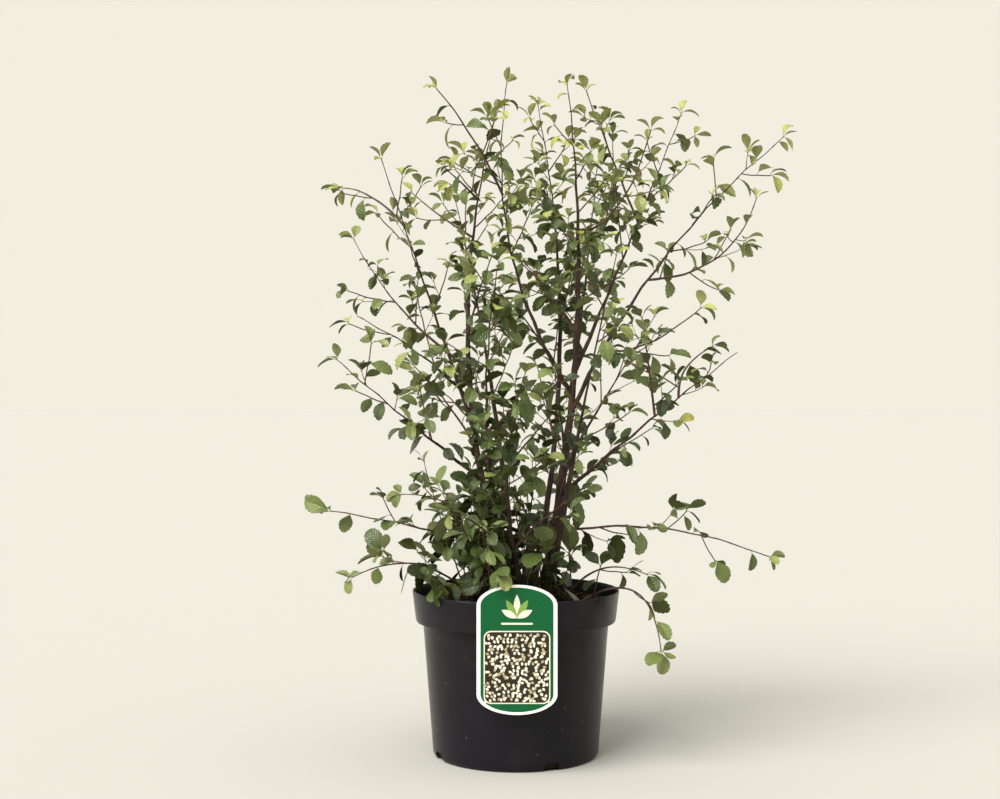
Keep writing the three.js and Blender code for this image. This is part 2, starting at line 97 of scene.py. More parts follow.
STEM_TIP, STEM_TAPER, STEM_FLARE, FLARE_HEIGHT = 1.8, 0.85, 0.45, 14.0
SHOOT_THICK, SHOOT_TIP = 3.6, 1.8
TWIG_THICK, TWIG_SHARE, TWIG_TIP = 2.2, 1.3, 1.5
TWIG_SPACING, TWIG_FIRST, TWIG_END = 46.0, 16.0, 44.0
TWIG_ANGLE, TWIG_TURN, TWIG_RISE, TWIG_SHORTER = 50.0, 137.5, 0.3, 0.6
TWIG_TRIES, TRY_TURN, TWIG_CLEARANCE = 4, 95.0, 1.2
POT_ROOM, RIM_ROOM = 8.0, 6.0
WOOD_END = 0.95
SEED = 4100
LEADER_REACH, SIDE_REACH = 96.0, 62.0

# name: (foot or (limb, share)), heading, lean, length, bow, sweep, thickness, where its leaves start
STEMS = {
    "main": ((32, 0), 36, 4, 705, 0.04, -0.02, 13, 0.6),
    "back": ((20, 30), 84, 11, 715, 0.02, -0.05, 9.5, 0.52),
    "left": ((-5, 18), 108, 6, 680, 0.02, 0.07, 11, 0.6),
    "front_left": ((0, -18), -98, 20, 470, -0.02, -0.06, 8.5, 0.38),
    "front": ((14, -32), -92, 25, 335, -0.02, -0.07, 8, 0.34),
    "rear": ((38, 44), 66, 19, 685, 0.02, 0, 9.5, 0.5),
    "rear_left": ((0, 46), 114, 21, 625, 0, -0.02, 9, 0.45),
    "front_right": ((44, -26), -70, 26, 495, -0.02, 0, 8.5, 0.36),
}
BOUGHS = {
    "high": (("main", 0.4), -140, 16, 425, 0.11, -0.02, 6.5, 0.45),
    "right_low": (("main", 0.2), -30, 53, 320, -0.01, 0, 6, 0.5),
    "right_high": (("main", 0.44), 30, 26, 415, 0.01, 0.01, 6.5, 0.4),
    "far_right": (("main", 0.36), -14, 38, 465, -0.06, -0.01, 6.5, 0.42),
    "left_high": (("left", 0.34), -152, 21, 390, -0.03, -0.06, 6.5, 0.4),
    "left_mid": (("left", 0.47), 154, 45, 265, 0.07, -0.02, 5.5, 0.34),
    "left_low": (("left", 0.4), -132, 63, 240, -0.04, 0.01, 5, 0.3),
    "left_foot": (("left", 0.24), -132, 59, 310, 0.02, 0.03, 6, 0.34),
    "rear_right": (("rear", 0.27), 40, 40, 295, 0, 0, 5.5, 0.36),
    "rear_low": (("rear_left", 0.32), 134, 56, 230, -0.04, -0.01, 5, 0.3),
}
SHOOTS = {
    "top": (("right_high", 0.58), 158, 22, 205, 0.01, -0.03),
    "high_side": (("high", 0.67), -142, 40, 165, -0.02, 0.03),
    "left_high_side": (("left_high", 0.76), 146, 61, 125, -0.1, 0.06),
    "left_rear_side": (("left", 0.74), 134, 60, 150, 0.01, 0.02),
    "left_front_side": (("left", 0.82), -126, 65, 85, -0.01, -0.01),
    "far_right_side": (("far_right", 0.45), 34, 58, 235, 0.13, -0.05),
    "far_right_low": (("far_right", 0.21), -54, 76, 195, 0.1, -0.05),
    "main_side": (("main", 0.71), -56, 52, 195, 0.17, -0.02),
    "right_low_side": (("right_low", 0.69), 48, 49, 105, -0.07, 0.11),
    "right_low_up": (("right_low", 0.56), -118, 19, 135, 0.04, 0.02),
    "inner_left": (("left", 0.3), 200, 38, 150, -0.04, 0),
    "inner_rear": (("back", 0.3), 100, 48, 170, -0.04, 0),
    "inner_right": (("rear", 0.2), -10, 52, 170, -0.04, 0),
    "inner_front": (("main", 0.27), -100, 40, 150, -0.04, 0),
    "inner_high": (("back", 0.45), 200, 40, 150, -0.04, 0),
    "inner_mid": (("main", 0.52), 150, 42, 150, -0.04, 0),
    "inner_left_mid": (("left", 0.54), -70, 45, 140, -0.04, 0),
    "inner_rear_left": (("rear_left", 0.28), 30, 45, 150, -0.04, 0),
    "inner_low": (("front", 0.24), -20, 50, 120, -0.04, 0),
    "low_right": (("main", 0.13), -14, 95, 290, -0.08, -0.03),
    "low_left": (("left", 0.1), 200, 76, 240, -0.02, 0.06),
    "low_rear": (("rear", 0.12), 80, 72, 230, -0.08, 0),
    "low_rear_left": (("rear_left", 0.12), 140, 74, 220, -0.08, 0),
    "low_front": (("front_left", 0.14), -120, 64, 150, -0.08, 0),
}
RIM_SHOOTS = {
    "rim_left": ((-55, -20), -144, 76, 195, -0.17, -0.01),
    "rim_right": ((65, 0), -24, 71, 125, -0.2, 0.03),
    "rim_hanging": ((80, -40), -26, 114, 130, -0.4, 0.04),
    "rim_front": ((-16, -62), -96, 52, 90, -0.14, 0),
    "rim_rear": ((24, 78), 88, 78, 150, -0.2, 0),
}

# ---------- Directions, curves and limbs ----------


def sequence(seed):
    """The same numbers on every run, between 0 and 1, as in the frame's source."""
    state = seed

    def following():
        nonlocal state
        state = (state * 1664525 + 1013904223) % 4294967296
        return state / 4294967296

    return following


def unit(v):
    return v / np.linalg.norm(v)


def square_to(a, b):
    """The direction square to both, or along X where they run nearly the same way."""
    c = np.cross(a, b)
    return np.array([1.0, 0, 0]) if np.linalg.norm(c) < 0.05 else unit(c)


def direction(heading, lean):
    flat = math.sin(math.radians(lean))
    a = math.radians(heading)
    return np.array([flat * math.cos(a), flat * math.sin(a), math.cos(math.radians(lean))])


def sideways(tangent, angle, turn):
    """A direction that leaves the tangent at that angle, turned about it."""
    level = square_to(tangent, UP)
    up = np.cross(level, tangent)
    angle, turn = math.radians(angle), math.radians(turn)
    return (
        tangent * math.cos(angle)
        + level * math.sin(angle) * math.cos(turn)
        + up * math.sin(angle) * math.sin(turn)
    )


def scattered(rng, reach):
    """A place on a disc, evenly likely everywhere on it, as its distance out and its direction in radians."""
    out = reach * math.sqrt(rng.random())
    return out, 2 * math.pi * rng.random()


class Curve:
    """A quadratic arc from its foot to its tip, bent by its middle point."""

    def __init__(self, foot, middle, tip):
        self.foot, self.middle, self.tip = foot, middle, tip

    def point(self, t):
        t = np.asarray(t, float)[..., None]
        return (1 - t) ** 2 * self.foot + 2 * t * (1 - t) * self.middle + t * t * self.tip

    def tangent(self, t):
        t = np.asarray(t, float)[..., None]
        d = 2 * (1 - t) * (self.middle - self.foot) + 2 * t * (self.tip - self.middle)
        return d / np.linalg.norm(d, axis=-1, keepdims=True)

    def span(self):
        return float(np.linalg.norm(self.tip - self.foot))


def taper(thick, tip, power=1.0):
    return lambda t: (tip + (thick - tip) * (1 - np.asarray(t, float)) ** power) / 2


class Limb:
    """A stem, bough or shoot: its arc, its radius, and from which share of its length it is leafy."""

    def __init__(self, name, kind, start, row, radius_at, source=None):
        root, heading, lean, length, bow, sweep, *wood = row
        along = direction(heading, lean)
        outward = direction(heading, lean + 90)
        across = direction(heading + 90, 90)
        middle = start + along * length / 2 + outward * 2 * bow * length + across * 2 * sweep * length
        self.name, self.kind, self.source = name, kind, source
        self.length, self.radius_at = length, radius_at
        self.leafy = wood[1] if wood else 0
        self.at = root[1] if source else None
        self.curve = Curve(start, middle, start + along * length)


def stem_radius(length, thick):
    """A stem's taper, with the flare at its foot."""
    plain = taper(thick, STEM_TIP, STEM_TAPER)

    def radius(t):
        height = np.maximum(np.asarray(t, float), 0) * length
        return plain(t) * (1 + STEM_FLARE * np.exp(-height / FLARE_HEIGHT))

    return radius


def over_compost(foot):
    return np.array([foot[0], foot[1], SOIL_LEVEL + JOINT], float)


def foliage_node(mass):
    """The frame's node for a mass of foliage, or None for leaves that belong to no mass."""
    return "foliage_" + mass if mass else None


limbs = {}
shoot_radius = taper(SHOOT_THICK, SHOOT_TIP)
for name, row in STEMS.items():
    limbs[name] = Limb(name, "stem", over_compost(row[0]), row, stem_radius(row[3], row[6]))
for name, row in BOUGHS.items():
    source = limbs[row[0][0]]
    limbs[name] = Limb(name, "bough", source.curve.point(row[0][1]), row, taper(row[6], STEM_TIP), source)
for name, row in SHOOTS.items():
    source = limbs[row[0][0]]
    limbs[name] = Limb(name, "shoot", source.curve.point(row[0][1]), row, shoot_radius, source)
for name, row in RIM_SHOOTS.items():
    limbs[name] = Limb(name, "rim", over_compost(row[0]), row, shoot_radius)

# each mass of foliage by name, as the limbs whose twigs and leaves it holds
masses = {}
for limb in limbs.values():
    if limb.kind == "shoot" and limb.at > limb.source.leafy:
        masses[limb.source.name].append(limb)
    else:
        masses[limb.name] = [limb]

# ---------- Twigs, by the frame's rule ----------


class Taken:
    """The straight stretches that wood already fills, so that a new twig can be kept clear of them."""

    def __init__(self):
        self.a = np.zeros((0, 3))
        self.b = np.zeros((0, 3))
        self.radius = np.zeros(0)
        self.host = []

    def add(self, a, b, radius, host):
        self.a = np.vstack([self.a, a])
        self.b = np.vstack([self.b, b])
        self.radius = np.append(self.radius, radius)
        self.host.append(host)

    def clear(self, a, b, radius, host, clearance):
        """Whether the stretch from a to b keeps its distance from all but its host."""
        d1, d2 = b - a, self.b - self.a
        r = a - self.a
        aa = d1 @ d1
        e = (d2 * d2).sum(1)
        bb = d2 @ d1
        c = r @ d1
        f = (d2 * r).sum(1)
        spread = aa * e - bb * bb
        s = np.where(spread > 1e-9, np.clip((bb * f - c * e) / np.where(spread > 1e-9, spread, 1), 0, 1), 0)
        t = np.clip((bb * s + f) / e, 0, 1)
        s = np.clip((bb * t - c) / aa, 0, 1)
        apart = np.linalg.norm(a + d1 * s[:, None] - self.a - d2 * t[:, None], axis=1)
        close = apart <= radius + self.radius + clearance
        return not any(self.host[i] is not host for i in np.nonzero(close)[0])


def near_pot(p):
    return math.hypot(p[0], p[1]) <= POT_RIM / 2 + POT_ROOM and p[2] < POT_HEIGHT + RIM_ROOM


class Twig:
    """A twig that turns up towards its tip. Its share is how far out it springs, from 0 to 1."""

    def __init__(self, start, aim, length, radius_at, share):
        middle = start + aim * length / 2
        end = unit(aim + UP * TWIG_RISE)
        self.curve = Curve(start, middle, middle + end * length / 2)
        self.radius_at, self.share = radius_at, share


def grow_twigs(shoot, reach, taken, following):
    span = shoot.curve.span() * (1 - shoot.leafy)
    phase = 360 * following()
    twigs = []
    number = 0
    along = TWIG_FIRST
    while along < span - TWIG_END:
        share = along / span
        t = shoot.leafy + (1 - shoot.leafy) * share
        start = shoot.curve.point(t)
        angle = TWIG_ANGLE + 20 * (following() - 0.5)
        length = reach * (1 - TWIG_SHORTER * share) * (0.7 + 0.5 * following())
        radius_at = taper(min(TWIG_THICK, TWIG_SHARE * float(shoot.radius_at(t))), TWIG_TIP)
        number += 1
        for attempt in range(TWIG_TRIES):
            turn = phase + TWIG_TURN * number + TRY_TURN * attempt
            twig = Twig(start, sideways(shoot.curve.tangent(t), angle, turn), length, radius_at, share)
            a, b = twig.curve.foot, twig.curve.tip
            if near_pot(b) or not taken.clear(a, b, float(radius_at(0)), shoot, TWIG_CLEARANCE):
                continue
            taken.add(a, b, float(radius_at(0)), twig)
            twigs.append(twig)
            break
        along += TWIG_SPACING
    return twigs


LIMB_STRETCHES = 8

taken = Taken()
for limb in limbs.values():
    for i in range(LIMB_STRETCHES):
        a, b = limb.curve.point(i / LIMB_STRETCHES), limb.curve.point((i + 1) / LIMB_STRETCHES)
        taken.add(a, b, float(limb.radius_at(i / LIMB_STRETCHES)), limb)
main_twigs = {}
for number, shoots in enumerate(masses.values()):
    following = sequence(SEED + number)
    for shoot in shoots:
        reach = LEADER_REACH if shoot.leafy else SIDE_REACH
        main_twigs[shoot.name] = grow_twigs(shoot, reach, taken, following)

# ---------- Meshes from arrays ----------


class Heap:
    """Many small shapes gathered into one mesh, each face with the number of its finish."""

    def __init__(self):
        self.points, self.faces, self.finishes, self.nodes, self.count = [], [], [], set(), 0

    def add(self, points, faces, finish=0, stands_for=None):
        self.points.append(points)
        for part in faces:
            self.faces.append(part + self.count)
            self.finishes.append(np.full(len(part), finish))
        self.count += len(points)
        if stands_for:
            self.nodes.add(stands_for)


def mesh_of(name, heap, materials, smooth=True):
    points = np.vstack(heap.points) * MM
    sizes = np.concatenate([np.full(len(f), f.shape[1]) for f in heap.faces])
    corners = np.concatenate([f.ravel() for f in heap.faces])
    mesh = bpy.data.meshes.new(name)
    mesh.vertices.add(len(points))
    mesh.vertices.foreach_set("co", points.ravel())
    mesh.loops.add(len(corners))
    mesh.loops.foreach_set("vertex_index", corners.astype(np.int32))
    mesh.polygons.add(len(sizes))
    mesh.polygons.foreach_set("loop_start", np.concatenate([[0], np.cumsum(sizes)[:-1]]).astype(np.int32))
    mesh.polygons.foreach_set("material_index", np.concatenate(heap.finishes).astype(np.int32))
    mesh.polygons.foreach_set("use_smooth", np.full(len(sizes), smooth))
    mesh.update(calc_edges=True)
    mesh.validate()
    for material in materials:
        mesh.materials.append(material)
    return mesh


def piece(name, mesh, nodes):
    made = placed(name, mesh)
    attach(made, BODY)
    if nodes:
        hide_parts(*sorted(nodes))


def heap_piece(name, heap, materials, nodes, smooth=True):
    piece(name, mesh_of(name, heap, materials, smooth), nodes)


def ring_faces(rings, sides):
    """The faces between rings of points, closed by a fan at either end to a point that follows the rings."""
    a = np.arange(sides)
    b = (a + 1) % sides
    rows = np.arange(rings - 1)[:, None] * sides
    here, there = (rows + a).ravel(), (rows + b).ravel()
    quads = np.stack([here, there, there + sides, here + sides], axis=1)
    last, foot_point = (rings - 1) * sides, rings * sides
    foot = np.stack([b, a, np.full(sides, foot_point)], axis=1)
    tip = np.stack([last + a, last + b, np.full(sides, foot_point + 1)], axis=1)
    return [quads, foot, tip]


def prism_faces(count):
    """The faces of a prism whose first outline of that many points faces away from its second."""
    k = np.arange(count)
    after = (k + 1) % count
    sides = np.stack([k, after, after + count, k + count], axis=1)
    return [sides, k[None, ::-1], (k + count)[None]]


def tube(points, radii, sides, relief=None):
    """A closed tube along a path. Relief adds to the radius, as an array of rings by sides."""
    d = np.gradient(points, axis=0)
    d /= np.linalg.norm(d, axis=1, keepdims=True)
    across = [square_to(d[0], UP)]
    for i in range(1, len(points)):
        across.append(unit(across[-1] - d[i] * (across[-1] @ d[i])))
    across = np.array(across)
    up = np.cross(d, across)
    angle = 2 * math.pi * np.arange(sides) / sides
    radius = np.repeat(np.asarray(radii)[:, None], sides, axis=1)
    if relief is not None:
        radius = radius + relief
    ring = (
        points[:, None]
        + across[:, None] * (radius * np.cos(angle))[..., None]
        + up[:, None] * (radius * np.sin(angle))[..., None]
    )
    ends = np.vstack([points[0], points[-1] + (points[-1] - points[-2]) * 0.2])
    return np.vstack([ring.reshape(-1, 3), ends]), ring_faces(len(points), sides)


# ---------- Materials of the plant ----------


def linear(colour):
    """A colour as its hex value, turned from sRGB to linear."""
    parts = [int(colour[i : i + 2], 16) / 255 for i in (1, 3, 5)]
    return tuple(p / 12.92 if p <= 0.04045 else ((p + 0.055) / 1.055) ** 2.4 for p in parts) + (1.0,)


def node(tree, kind, settings=None, links=None):
    """A shader node of that kind, with its settings (properties or input values) and its links. A link
    gives an input another node's first output, or the output named in (node, output)."""
    made = tree.nodes.new("ShaderNode" + kind)
    for key, value in (settings or {}).items():
        if isinstance(key, str) and hasattr(made, key):
            setattr(made, key, value)
        else:
            made.inputs[key].default_value = value
    for key, source in (links or {}).items():
        giver, output = source if isinstance(source, tuple) else (source, 0)
        tree.links.new(giver.outputs[output], made.inputs[key])
    return made


def new_material(name):
    material = bpy.data.materials.new(name)
    material.use_nodes = True
    material.node_tree.nodes.clear()
    return material, material.node_tree


def per_metre(size_mm):
    """The scale of a pattern whose features are that many millimetres apart."""
    return 1000.0 / size_mm


# pairs of side veins on a blade, how far they slant forward in vein spacings, how much stronger the
# puckers between them are, and the depth of the quilting
SIDE_VEINS, VEIN_SLANT, PUCKERS, QUILT_MM = 7.0, 2.2, 3.0, 0.38
PUCKER_MM = 5.0


def leaf_skin(name, colour, roughness, specular):
    """Leaf blade with a thin wax skin: a soft sheen, quilted between the side veins and a little puckered."""
    material, tree = new_material(name)
    place = node(tree, "TexCoord")
    puckers = {"Scale": per_metre(PUCKER_MM), "Detail": 2.0}
    grain = node(tree, "TexNoise", puckers, {"Vector": (place, "Object")})
    blade_place = node(tree, "Attribute", {"attribute_name": "blade_place"})
    shares = node(tree, "SeparateXYZ", links={0: (blade_place, "Vector")})
    outward = node(tree, "Math", {"operation": "ABSOLUTE"}, {0: (shares, "Y")})
    along = node(tree, "Math", {"operation": "MULTIPLY", 1: SIDE_VEINS * math.pi}, {0: (shares, "X")})
    slant = {"operation": "MULTIPLY_ADD", 1: -VEIN_SLANT * math.pi}
    slanted = node(tree, "Math", slant, {0: outward, 2: along})
    wave = node(tree, "Math", {"operation": "SINE"}, {0: slanted})
    quilt = node(tree, "Math", {"operation": "ABSOLUTE"}, {0: wave})
    surface = node(tree, "Math", {"operation": "MULTIPLY_ADD", 1: PUCKERS}, {0: grain, 2: quilt})
    range_of = {"From Min": 0.3, "From Max": 0.7, "To Min": roughness - 0.08, "To Max": roughness + 0.1}
    rough = node(tree, "MapRange", range_of, {"Value": grain})
    bump = node(tree, "Bump", {"Strength": 1.0, "Distance": QUILT_MM * MM}, {"Height": surface})
    skin = {"Base Color": linear(colour), "Specular IOR Level": specular}
    shader = node(tree, "BsdfPrincipled", skin, {"Roughness": rough, "Normal": bump})
    node(tree, "OutputMaterial", links={"Surface": shader})
    return material


FLAKE_DRAWN = (1.0, 1.0, 0.16)
PATCH_MM = 26.0


def bark(name, dark, light, ridge_mm, roughness, relief_mm):
    """Bark in fine upright flakes, darker in the cracks and mottled in soft patches."""
    material, tree = new_material(name)
    place = node(tree, "TexCoord")
    drawn = node(tree, "Mapping", {"Scale": FLAKE_DRAWN}, {"Vector": (place, "Object")})
    ridges = {"Scale": per_metre(ridge_mm), "Detail": 4.0, "Roughness": 0.65}
    flakes = node(tree, "TexNoise", ridges, {"Vector": drawn})
    mottle = {"Scale": per_metre(PATCH_MM), "Detail": 2.0}
    patches = node(tree, "TexNoise", mottle, {"Vector": (place, "Object")})
    both = node(tree, "Math", {"operation": "MULTIPLY_ADD", 1: 0.55, 2: -0.03}, {0: patches})
    share = node(tree, "Math", {"operation": "MULTIPLY_ADD", 1: 0.6}, {0: flakes, 2: both})
    ramp = node(tree, "ValToRGB", links={"Fac": share})
    for stop, position, colour in zip(ramp.color_ramp.elements, (0.38, 0.68), (dark, light)):
        stop.position, stop.color = position, linear(colour)
    bump = node(tree, "Bump", {"Strength": 0.8, "Distance": relief_mm * MM}, {"Height": flakes})
    wood = {"Roughness": roughness, "Specular IOR Level": 0.3}
    shader = node(tree, "BsdfPrincipled", wood, {"Base Color": ramp, "Normal": bump})
    node(tree, "OutputMaterial", links={"Surface": shader})
    return material


old_bark = bark("old_bark", "#1b1512", "#4d3a30", 2.6, 0.8, 0.5)
young_bark = bark("young_bark", "#2b201b", "#654c3f", 1.8, 0.65, 0.2)
green_wood = bark("green_wood", "#574634", "#857152", 1.6, 0.55, 0.1)
stalk_skin = leaf_skin("stalk_skin", "#7d8447", 0.5, 0.4)

# each tint's upper face, underside and slot, from the deepest shade leaf to the youngest tip leaf, and a
# leaf that turns yellow. The deeper tints are partly the older leaves' own colour and partly painted shade
# for leaves low and inside the crown, and the undersides are painted a little darker than their own pale
# colour, as painted shade
LEAF_TINTS = {
    "shade": ("#1d2609", "#33391c", "leaves_dark"),
    "deep": ("#2a3812", "#3e4520", "leaves_dark"),
    "full": ("#3d4e20", "#4d552e", "leaves_mid"),
    "mid": ("#51632d", "#5e6740", "leaves_mid"),
    "light": ("#69783e", "#717b52", "leaves_mid"),
    "young": ("#858f4e", "#858c5e", "leaves_fresh"),
    "fresh": ("#a1a859", "#989e68", "leaves_bright"),
    "yellowing": ("#93913a", "#90914a", "leaves_bright"),
}
tint_names = list(LEAF_TINTS)
leaf_finishes = {
    tint: (
        leaf_skin("leaf_upper_" + tint, upper, 0.36, 0.62),
        leaf_skin("leaf_under_" + tint, under, 0.65, 0.12),
    )
    for tint, (upper, under, slot) in LEAF_TINTS.items()
}

# ---------- Wood ----------

# how far apart a path's points are, how high its bends are and how far apart its buds are
LIMB_BENDS, SHOOT_BENDS = (4.0, 2.4, 34.0), (5.0, 1.6, 34.0)
TWIG_BENDS, SPRIG_BENDS, CANE_BENDS = (5.0, 1.2, 16.0), (4.0, 0.8, 12.0), (6.0, 1.2, 18.0)
STEM_SIDES, BOUGH_SIDES, SHOOT_SIDES, TWIG_SIDES, SPRIG_SIDES, CANE_SIDES = 14, 10, 7, 5, 4, 6
# how far apart the swellings at the buds are, and how high
LIMB_BUDS, SHOOT_BUDS = (31.0, 0.25), (21.0, 0.2)
RIDGE_SHARE, RIDGE_MOST = 0.03, 0.22
SLIMMER_TIPS, SLIMMER_SHOOTS, SLIMMED_OVER = 0.45, 0.25, 0.3


class Wood:
    """A stretch of wood as a path with small bends at its buds, which its leaves then follow."""

    def __init__(self, curve, start, end, radius_at, rng, bends):
        step, kink, spacing = bends
        length = curve.span() * (end - start)
        count = max(3, int(length / step) + 1)
        t = np.linspace(start, end, count)
        along = np.linspace(0, length, count)
        phase = rng.random() * spacing
        wave = np.abs(((along + phase) / spacing) % 2 - 1) - 0.5
        side = unit(np.cross(curve.tangent(start), direction(360 * rng.random(), 90)))
        ease = np.clip(along / (1.5 * spacing), 0, 1)
        self.points = curve.point(t) + (kink * wave * ease)[:, None] * side
        self.radii = radius_at(t)
        self.along = along
        self.length = length
        self.tangents = np.gradient(self.points, axis=0)
        self.tangents /= np.linalg.norm(self.tangents, axis=1, keepdims=True)

    def at(self, along):
        """The place, direction and radius of the wood, that far along it."""
        place = np.array([np.interp(along, self.along, self.points[:, k]) for k in range(3)])
        way = unit(np.array([np.interp(along, self.along, self.tangents[:, k]) for k in range(3)]))
        return place, way, float(np.interp(along, self.along, self.radii))


def bark_relief(rng, rings, sides):
    """Upright ridges that wander and fade, as an array of rings by sides."""
    coarse = rng.normal(size=(rings // 5 + 3, sides))
    rows = np.linspace(0, len(coarse) - 1.001, rings)
    low = rows.astype(int)
    share = (rows - low)[:, None]
    drawn = coarse[low] * (1 - share) + coarse[low + 1] * share
    return 0.8 * drawn + 0.35 * rng.normal(size=(rings, sides))


def bud_swelling(along, spacing, height):
    return height * np.exp(-(((along % spacing) - spacing / 2) ** 2) / 6.0)


def grown_radius(limb):
    """The limb's own taper, slimmer where it runs on through its leaves."""
    if limb.kind in ("shoot", "rim"):
        return lambda t: limb.radius_at(t) * (1 - SLIMMER_SHOOTS * np.clip(t, 0, 1))
    start = 0.0 if limb.kind == "bough" else limb.leafy

    def radius(t):
        past = np.clip((np.asarray(t, float) - start) / (limb.leafy + SLIMMED_OVER - start), 0, 1)
        return limb.radius_at(t) * (1 - SLIMMER_TIPS * past)

    return radius


rng = np.random.default_rng(SEED)
woods = {}
for limb in limbs.values():
    foot = -SUNK / limb.length if limb.kind in ("stem", "rim") else 0.0
    bends = LIMB_BENDS if limb.kind in ("stem", "bough") else SHOOT_BENDS
    woods[limb.name] = Wood(limb.curve, foot, 1.0, grown_radius(limb), rng, bends)

side_shoots, twig_heap, sprig_heap = Heap(), Heap(), Heap()
for limb in limbs.values():
    wood = woods[limb.name]
    if limb.kind in ("stem", "bough"):
        sides = STEM_SIDES if limb.kind == "stem" else BOUGH_SIDES
        depth = np.minimum(RIDGE_SHARE * wood.radii[:, None], RIDGE_MOST)
        relief = bark_relief(rng, len(wood.points), sides) * depth
        heap = Heap()
        heap.add(*tube(wood.points, wood.radii + bud_swelling(wood.along, *LIMB_BUDS), sides, relief))
        bare = f"{limb.kind}_{limb.name}"
        heap_piece(bare + "_bark", heap, [old_bark], [bare])
    else:
        owner = next(name for name, shoots in masses.items() if limb in shoots)
        skin = tube(wood.points, wood.radii + bud_swelling(wood.along, *SHOOT_BUDS), SHOOT_SIDES)
        side_shoots.add(*skin, stands_for=foliage_node(owner))

# ---------- Leaf blades ----------

LEAF_LENGTH = 36.0
BLADE_THICK = 0.24
PLEAT, EDGE_DROOP = 0.1, 0.01

# stations along a blade: share of its length, share of its half width where the blade is pointed
# and where it is round, how far its edge runs forward
STATIONS = np.array(
    [
        (0.08, 0.14, 0.18, 0.0),
        (0.2, 0.44, 0.52, 0.0),
        (0.34, 0.78, 0.85, 0.0),
        (0.46, 1.0, 1.0, 0.025),
        (0.54, 0.9, 0.94, 0.0),
        (0.63, 0.9, 0.97, 0.035),
        (0.71, 0.7, 0.82, 0.0),
        (0.8, 0.63, 0.79, 0.04),
        (0.88, 0.36, 0.53, 0.0),
        (0.94, 0.24, 0.42, 0.02),
    ]
)
COLUMNS = np.array([-1.0, -0.5, 0.0, 0.5, 1.0])


def blade_faces():
    """The quads and triangles of one side of a blade: a root point, rows of points and a tip point."""
    rows, columns = len(STATIONS), len(COLUMNS)
    quads, ends = [], []
    for c in range(columns - 1):
        for r in range(rows - 1):
            a = 1 + r * columns + c
            quads.append((a, a + 1, a + columns + 1, a + columns))
        ends.append((0, 2 + c, 1 + c))
        last = 1 + (rows - 1) * columns + c
        ends.append((last, last + 1, 1 + rows * columns))
    return np.array(quads), np.array(ends)


def with_ends(rows, root=0.0, tip=0.0):
    """A value at every point of a blade, as one column from its root through its rows to its tip."""
    body = np.broadcast_to(rows, (len(STATIONS), len(COLUMNS))).reshape(-1, 1)
    return np.vstack([[[root]], body, [[tip]]])


BLADE_QUADS, BLADE_ENDS = blade_faces()
UNDER_QUADS = BLADE_QUADS[:, [0, 3, 2, 1]]  # turned over, and split along the same diagonal
# each point of a blade as its share of the length and of the half width
BLADE_PLACES = np.hstack([with_ends(STATIONS[:, :1], tip=1.0), with_ends(COLUMNS), with_ends(0.0)])
MIDRIB = BLADE_PLACES[:, 1] == 0


def mark_blades(mesh):
    """Marks the midribs as crisp, so that a blade's two halves catch the light apart, and gives every point
    its place on its blade, which the side veins are drawn by."""
    blades = len(mesh.vertices) // len(MIDRIB)
    along = np.tile(MIDRIB, blades)
    ends = np.empty(len(mesh.edges) * 2, np.int32)
    mesh.edges.foreach_get("vertices", ends)
    creased = mesh.attributes.new("sharp_edge", "BOOLEAN", "EDGE")
    creased.data.foreach_set("value", along[ends.reshape(-1, 2)].all(axis=1))
    places = mesh.attributes.new("blade_place", "FLOAT_VECTOR", "POINT")
    places.data.foreach_set("vector", np.tile(BLADE_PLACES, (blades, 1)).ravel())


def blade(root, axis, across, length, form):
    """The points of a leaf blade's upper side and underside, arched along its midrib and folded about it."""
    normal = np.cross(across, axis)
    edge = np.abs(COLUMNS)
    outline = STATIONS[:, 1:2] * (1 - form["roundness"]) + STATIONS[:, 2:3] * form["roundness"]
    rows = np.arange(len(STATIONS))[:, None]
    u = with_ends(STATIONS[:, :1] + STATIONS[:, 3:] * edge**2, tip=1.0)
    half = with_ends(length * form["width"] / 2 * outline * COLUMNS)
    pleat = with_ends(PLEAT * (-1.0) ** rows * (edge == 0.5))
    thick = with_ends(1 - edge**2)
    curl, fold = form["curl"], form["fold"]
    bend = curl * u
    ahead = length * np.sin(bend) / curl
    down = -length * (1 - np.cos(bend)) / curl
    forward = np.cos(bend) * axis - np.sin(bend) * normal
    raised = np.cross(np.broadcast_to(across, forward.shape), forward)
    turn = form["twist"] * u
    side = np.cos(turn) * across + np.sin(turn) * raised
    face = -np.sin(turn) * across + np.cos(turn) * raised
    middle = root + ahead * axis + down * normal
    rise = np.abs(half) * math.sin(fold) + pleat - EDGE_DROOP * half**2
    upper = middle + side * half * math.cos(fold) + face * rise
    return upper, upper - face * (BLADE_THICK * thick)


# ---------- Finer twigs and leaves ----------

SPRIG_SPACING, SPRIG_LENGTH, SPRIG_CLEARANCE = 26.0, 40.0, 0.5
SHOOT_SPRIG, TWIG_SPRIG, SPRIG_TIP = 1.5, 1.3, 0.9
SPRIG_ROOM, BOX_ROOM = 12.0, 4.0
SHOOT_LEAF_STEP, TWIG_LEAF_STEP, SPRIG_LEAF_STEP, CANE_LEAF_STEP = 22.0, 19.0, 16.0, 15.0
LEAF_TURN = 137.5
END_SIZE = 0.84
CROWN_FOOT, CROWN_TOP = 230.0, 950.0
CROWN_MIDDLE, CROWN_SPREAD = 20.0, 260.0
YELLOWED, NEW_SPRAY, LARGE_LEAVES = 0.006, 0.25, 0.12
TINT_STEPS, TINT_START = 7.2, 0.3

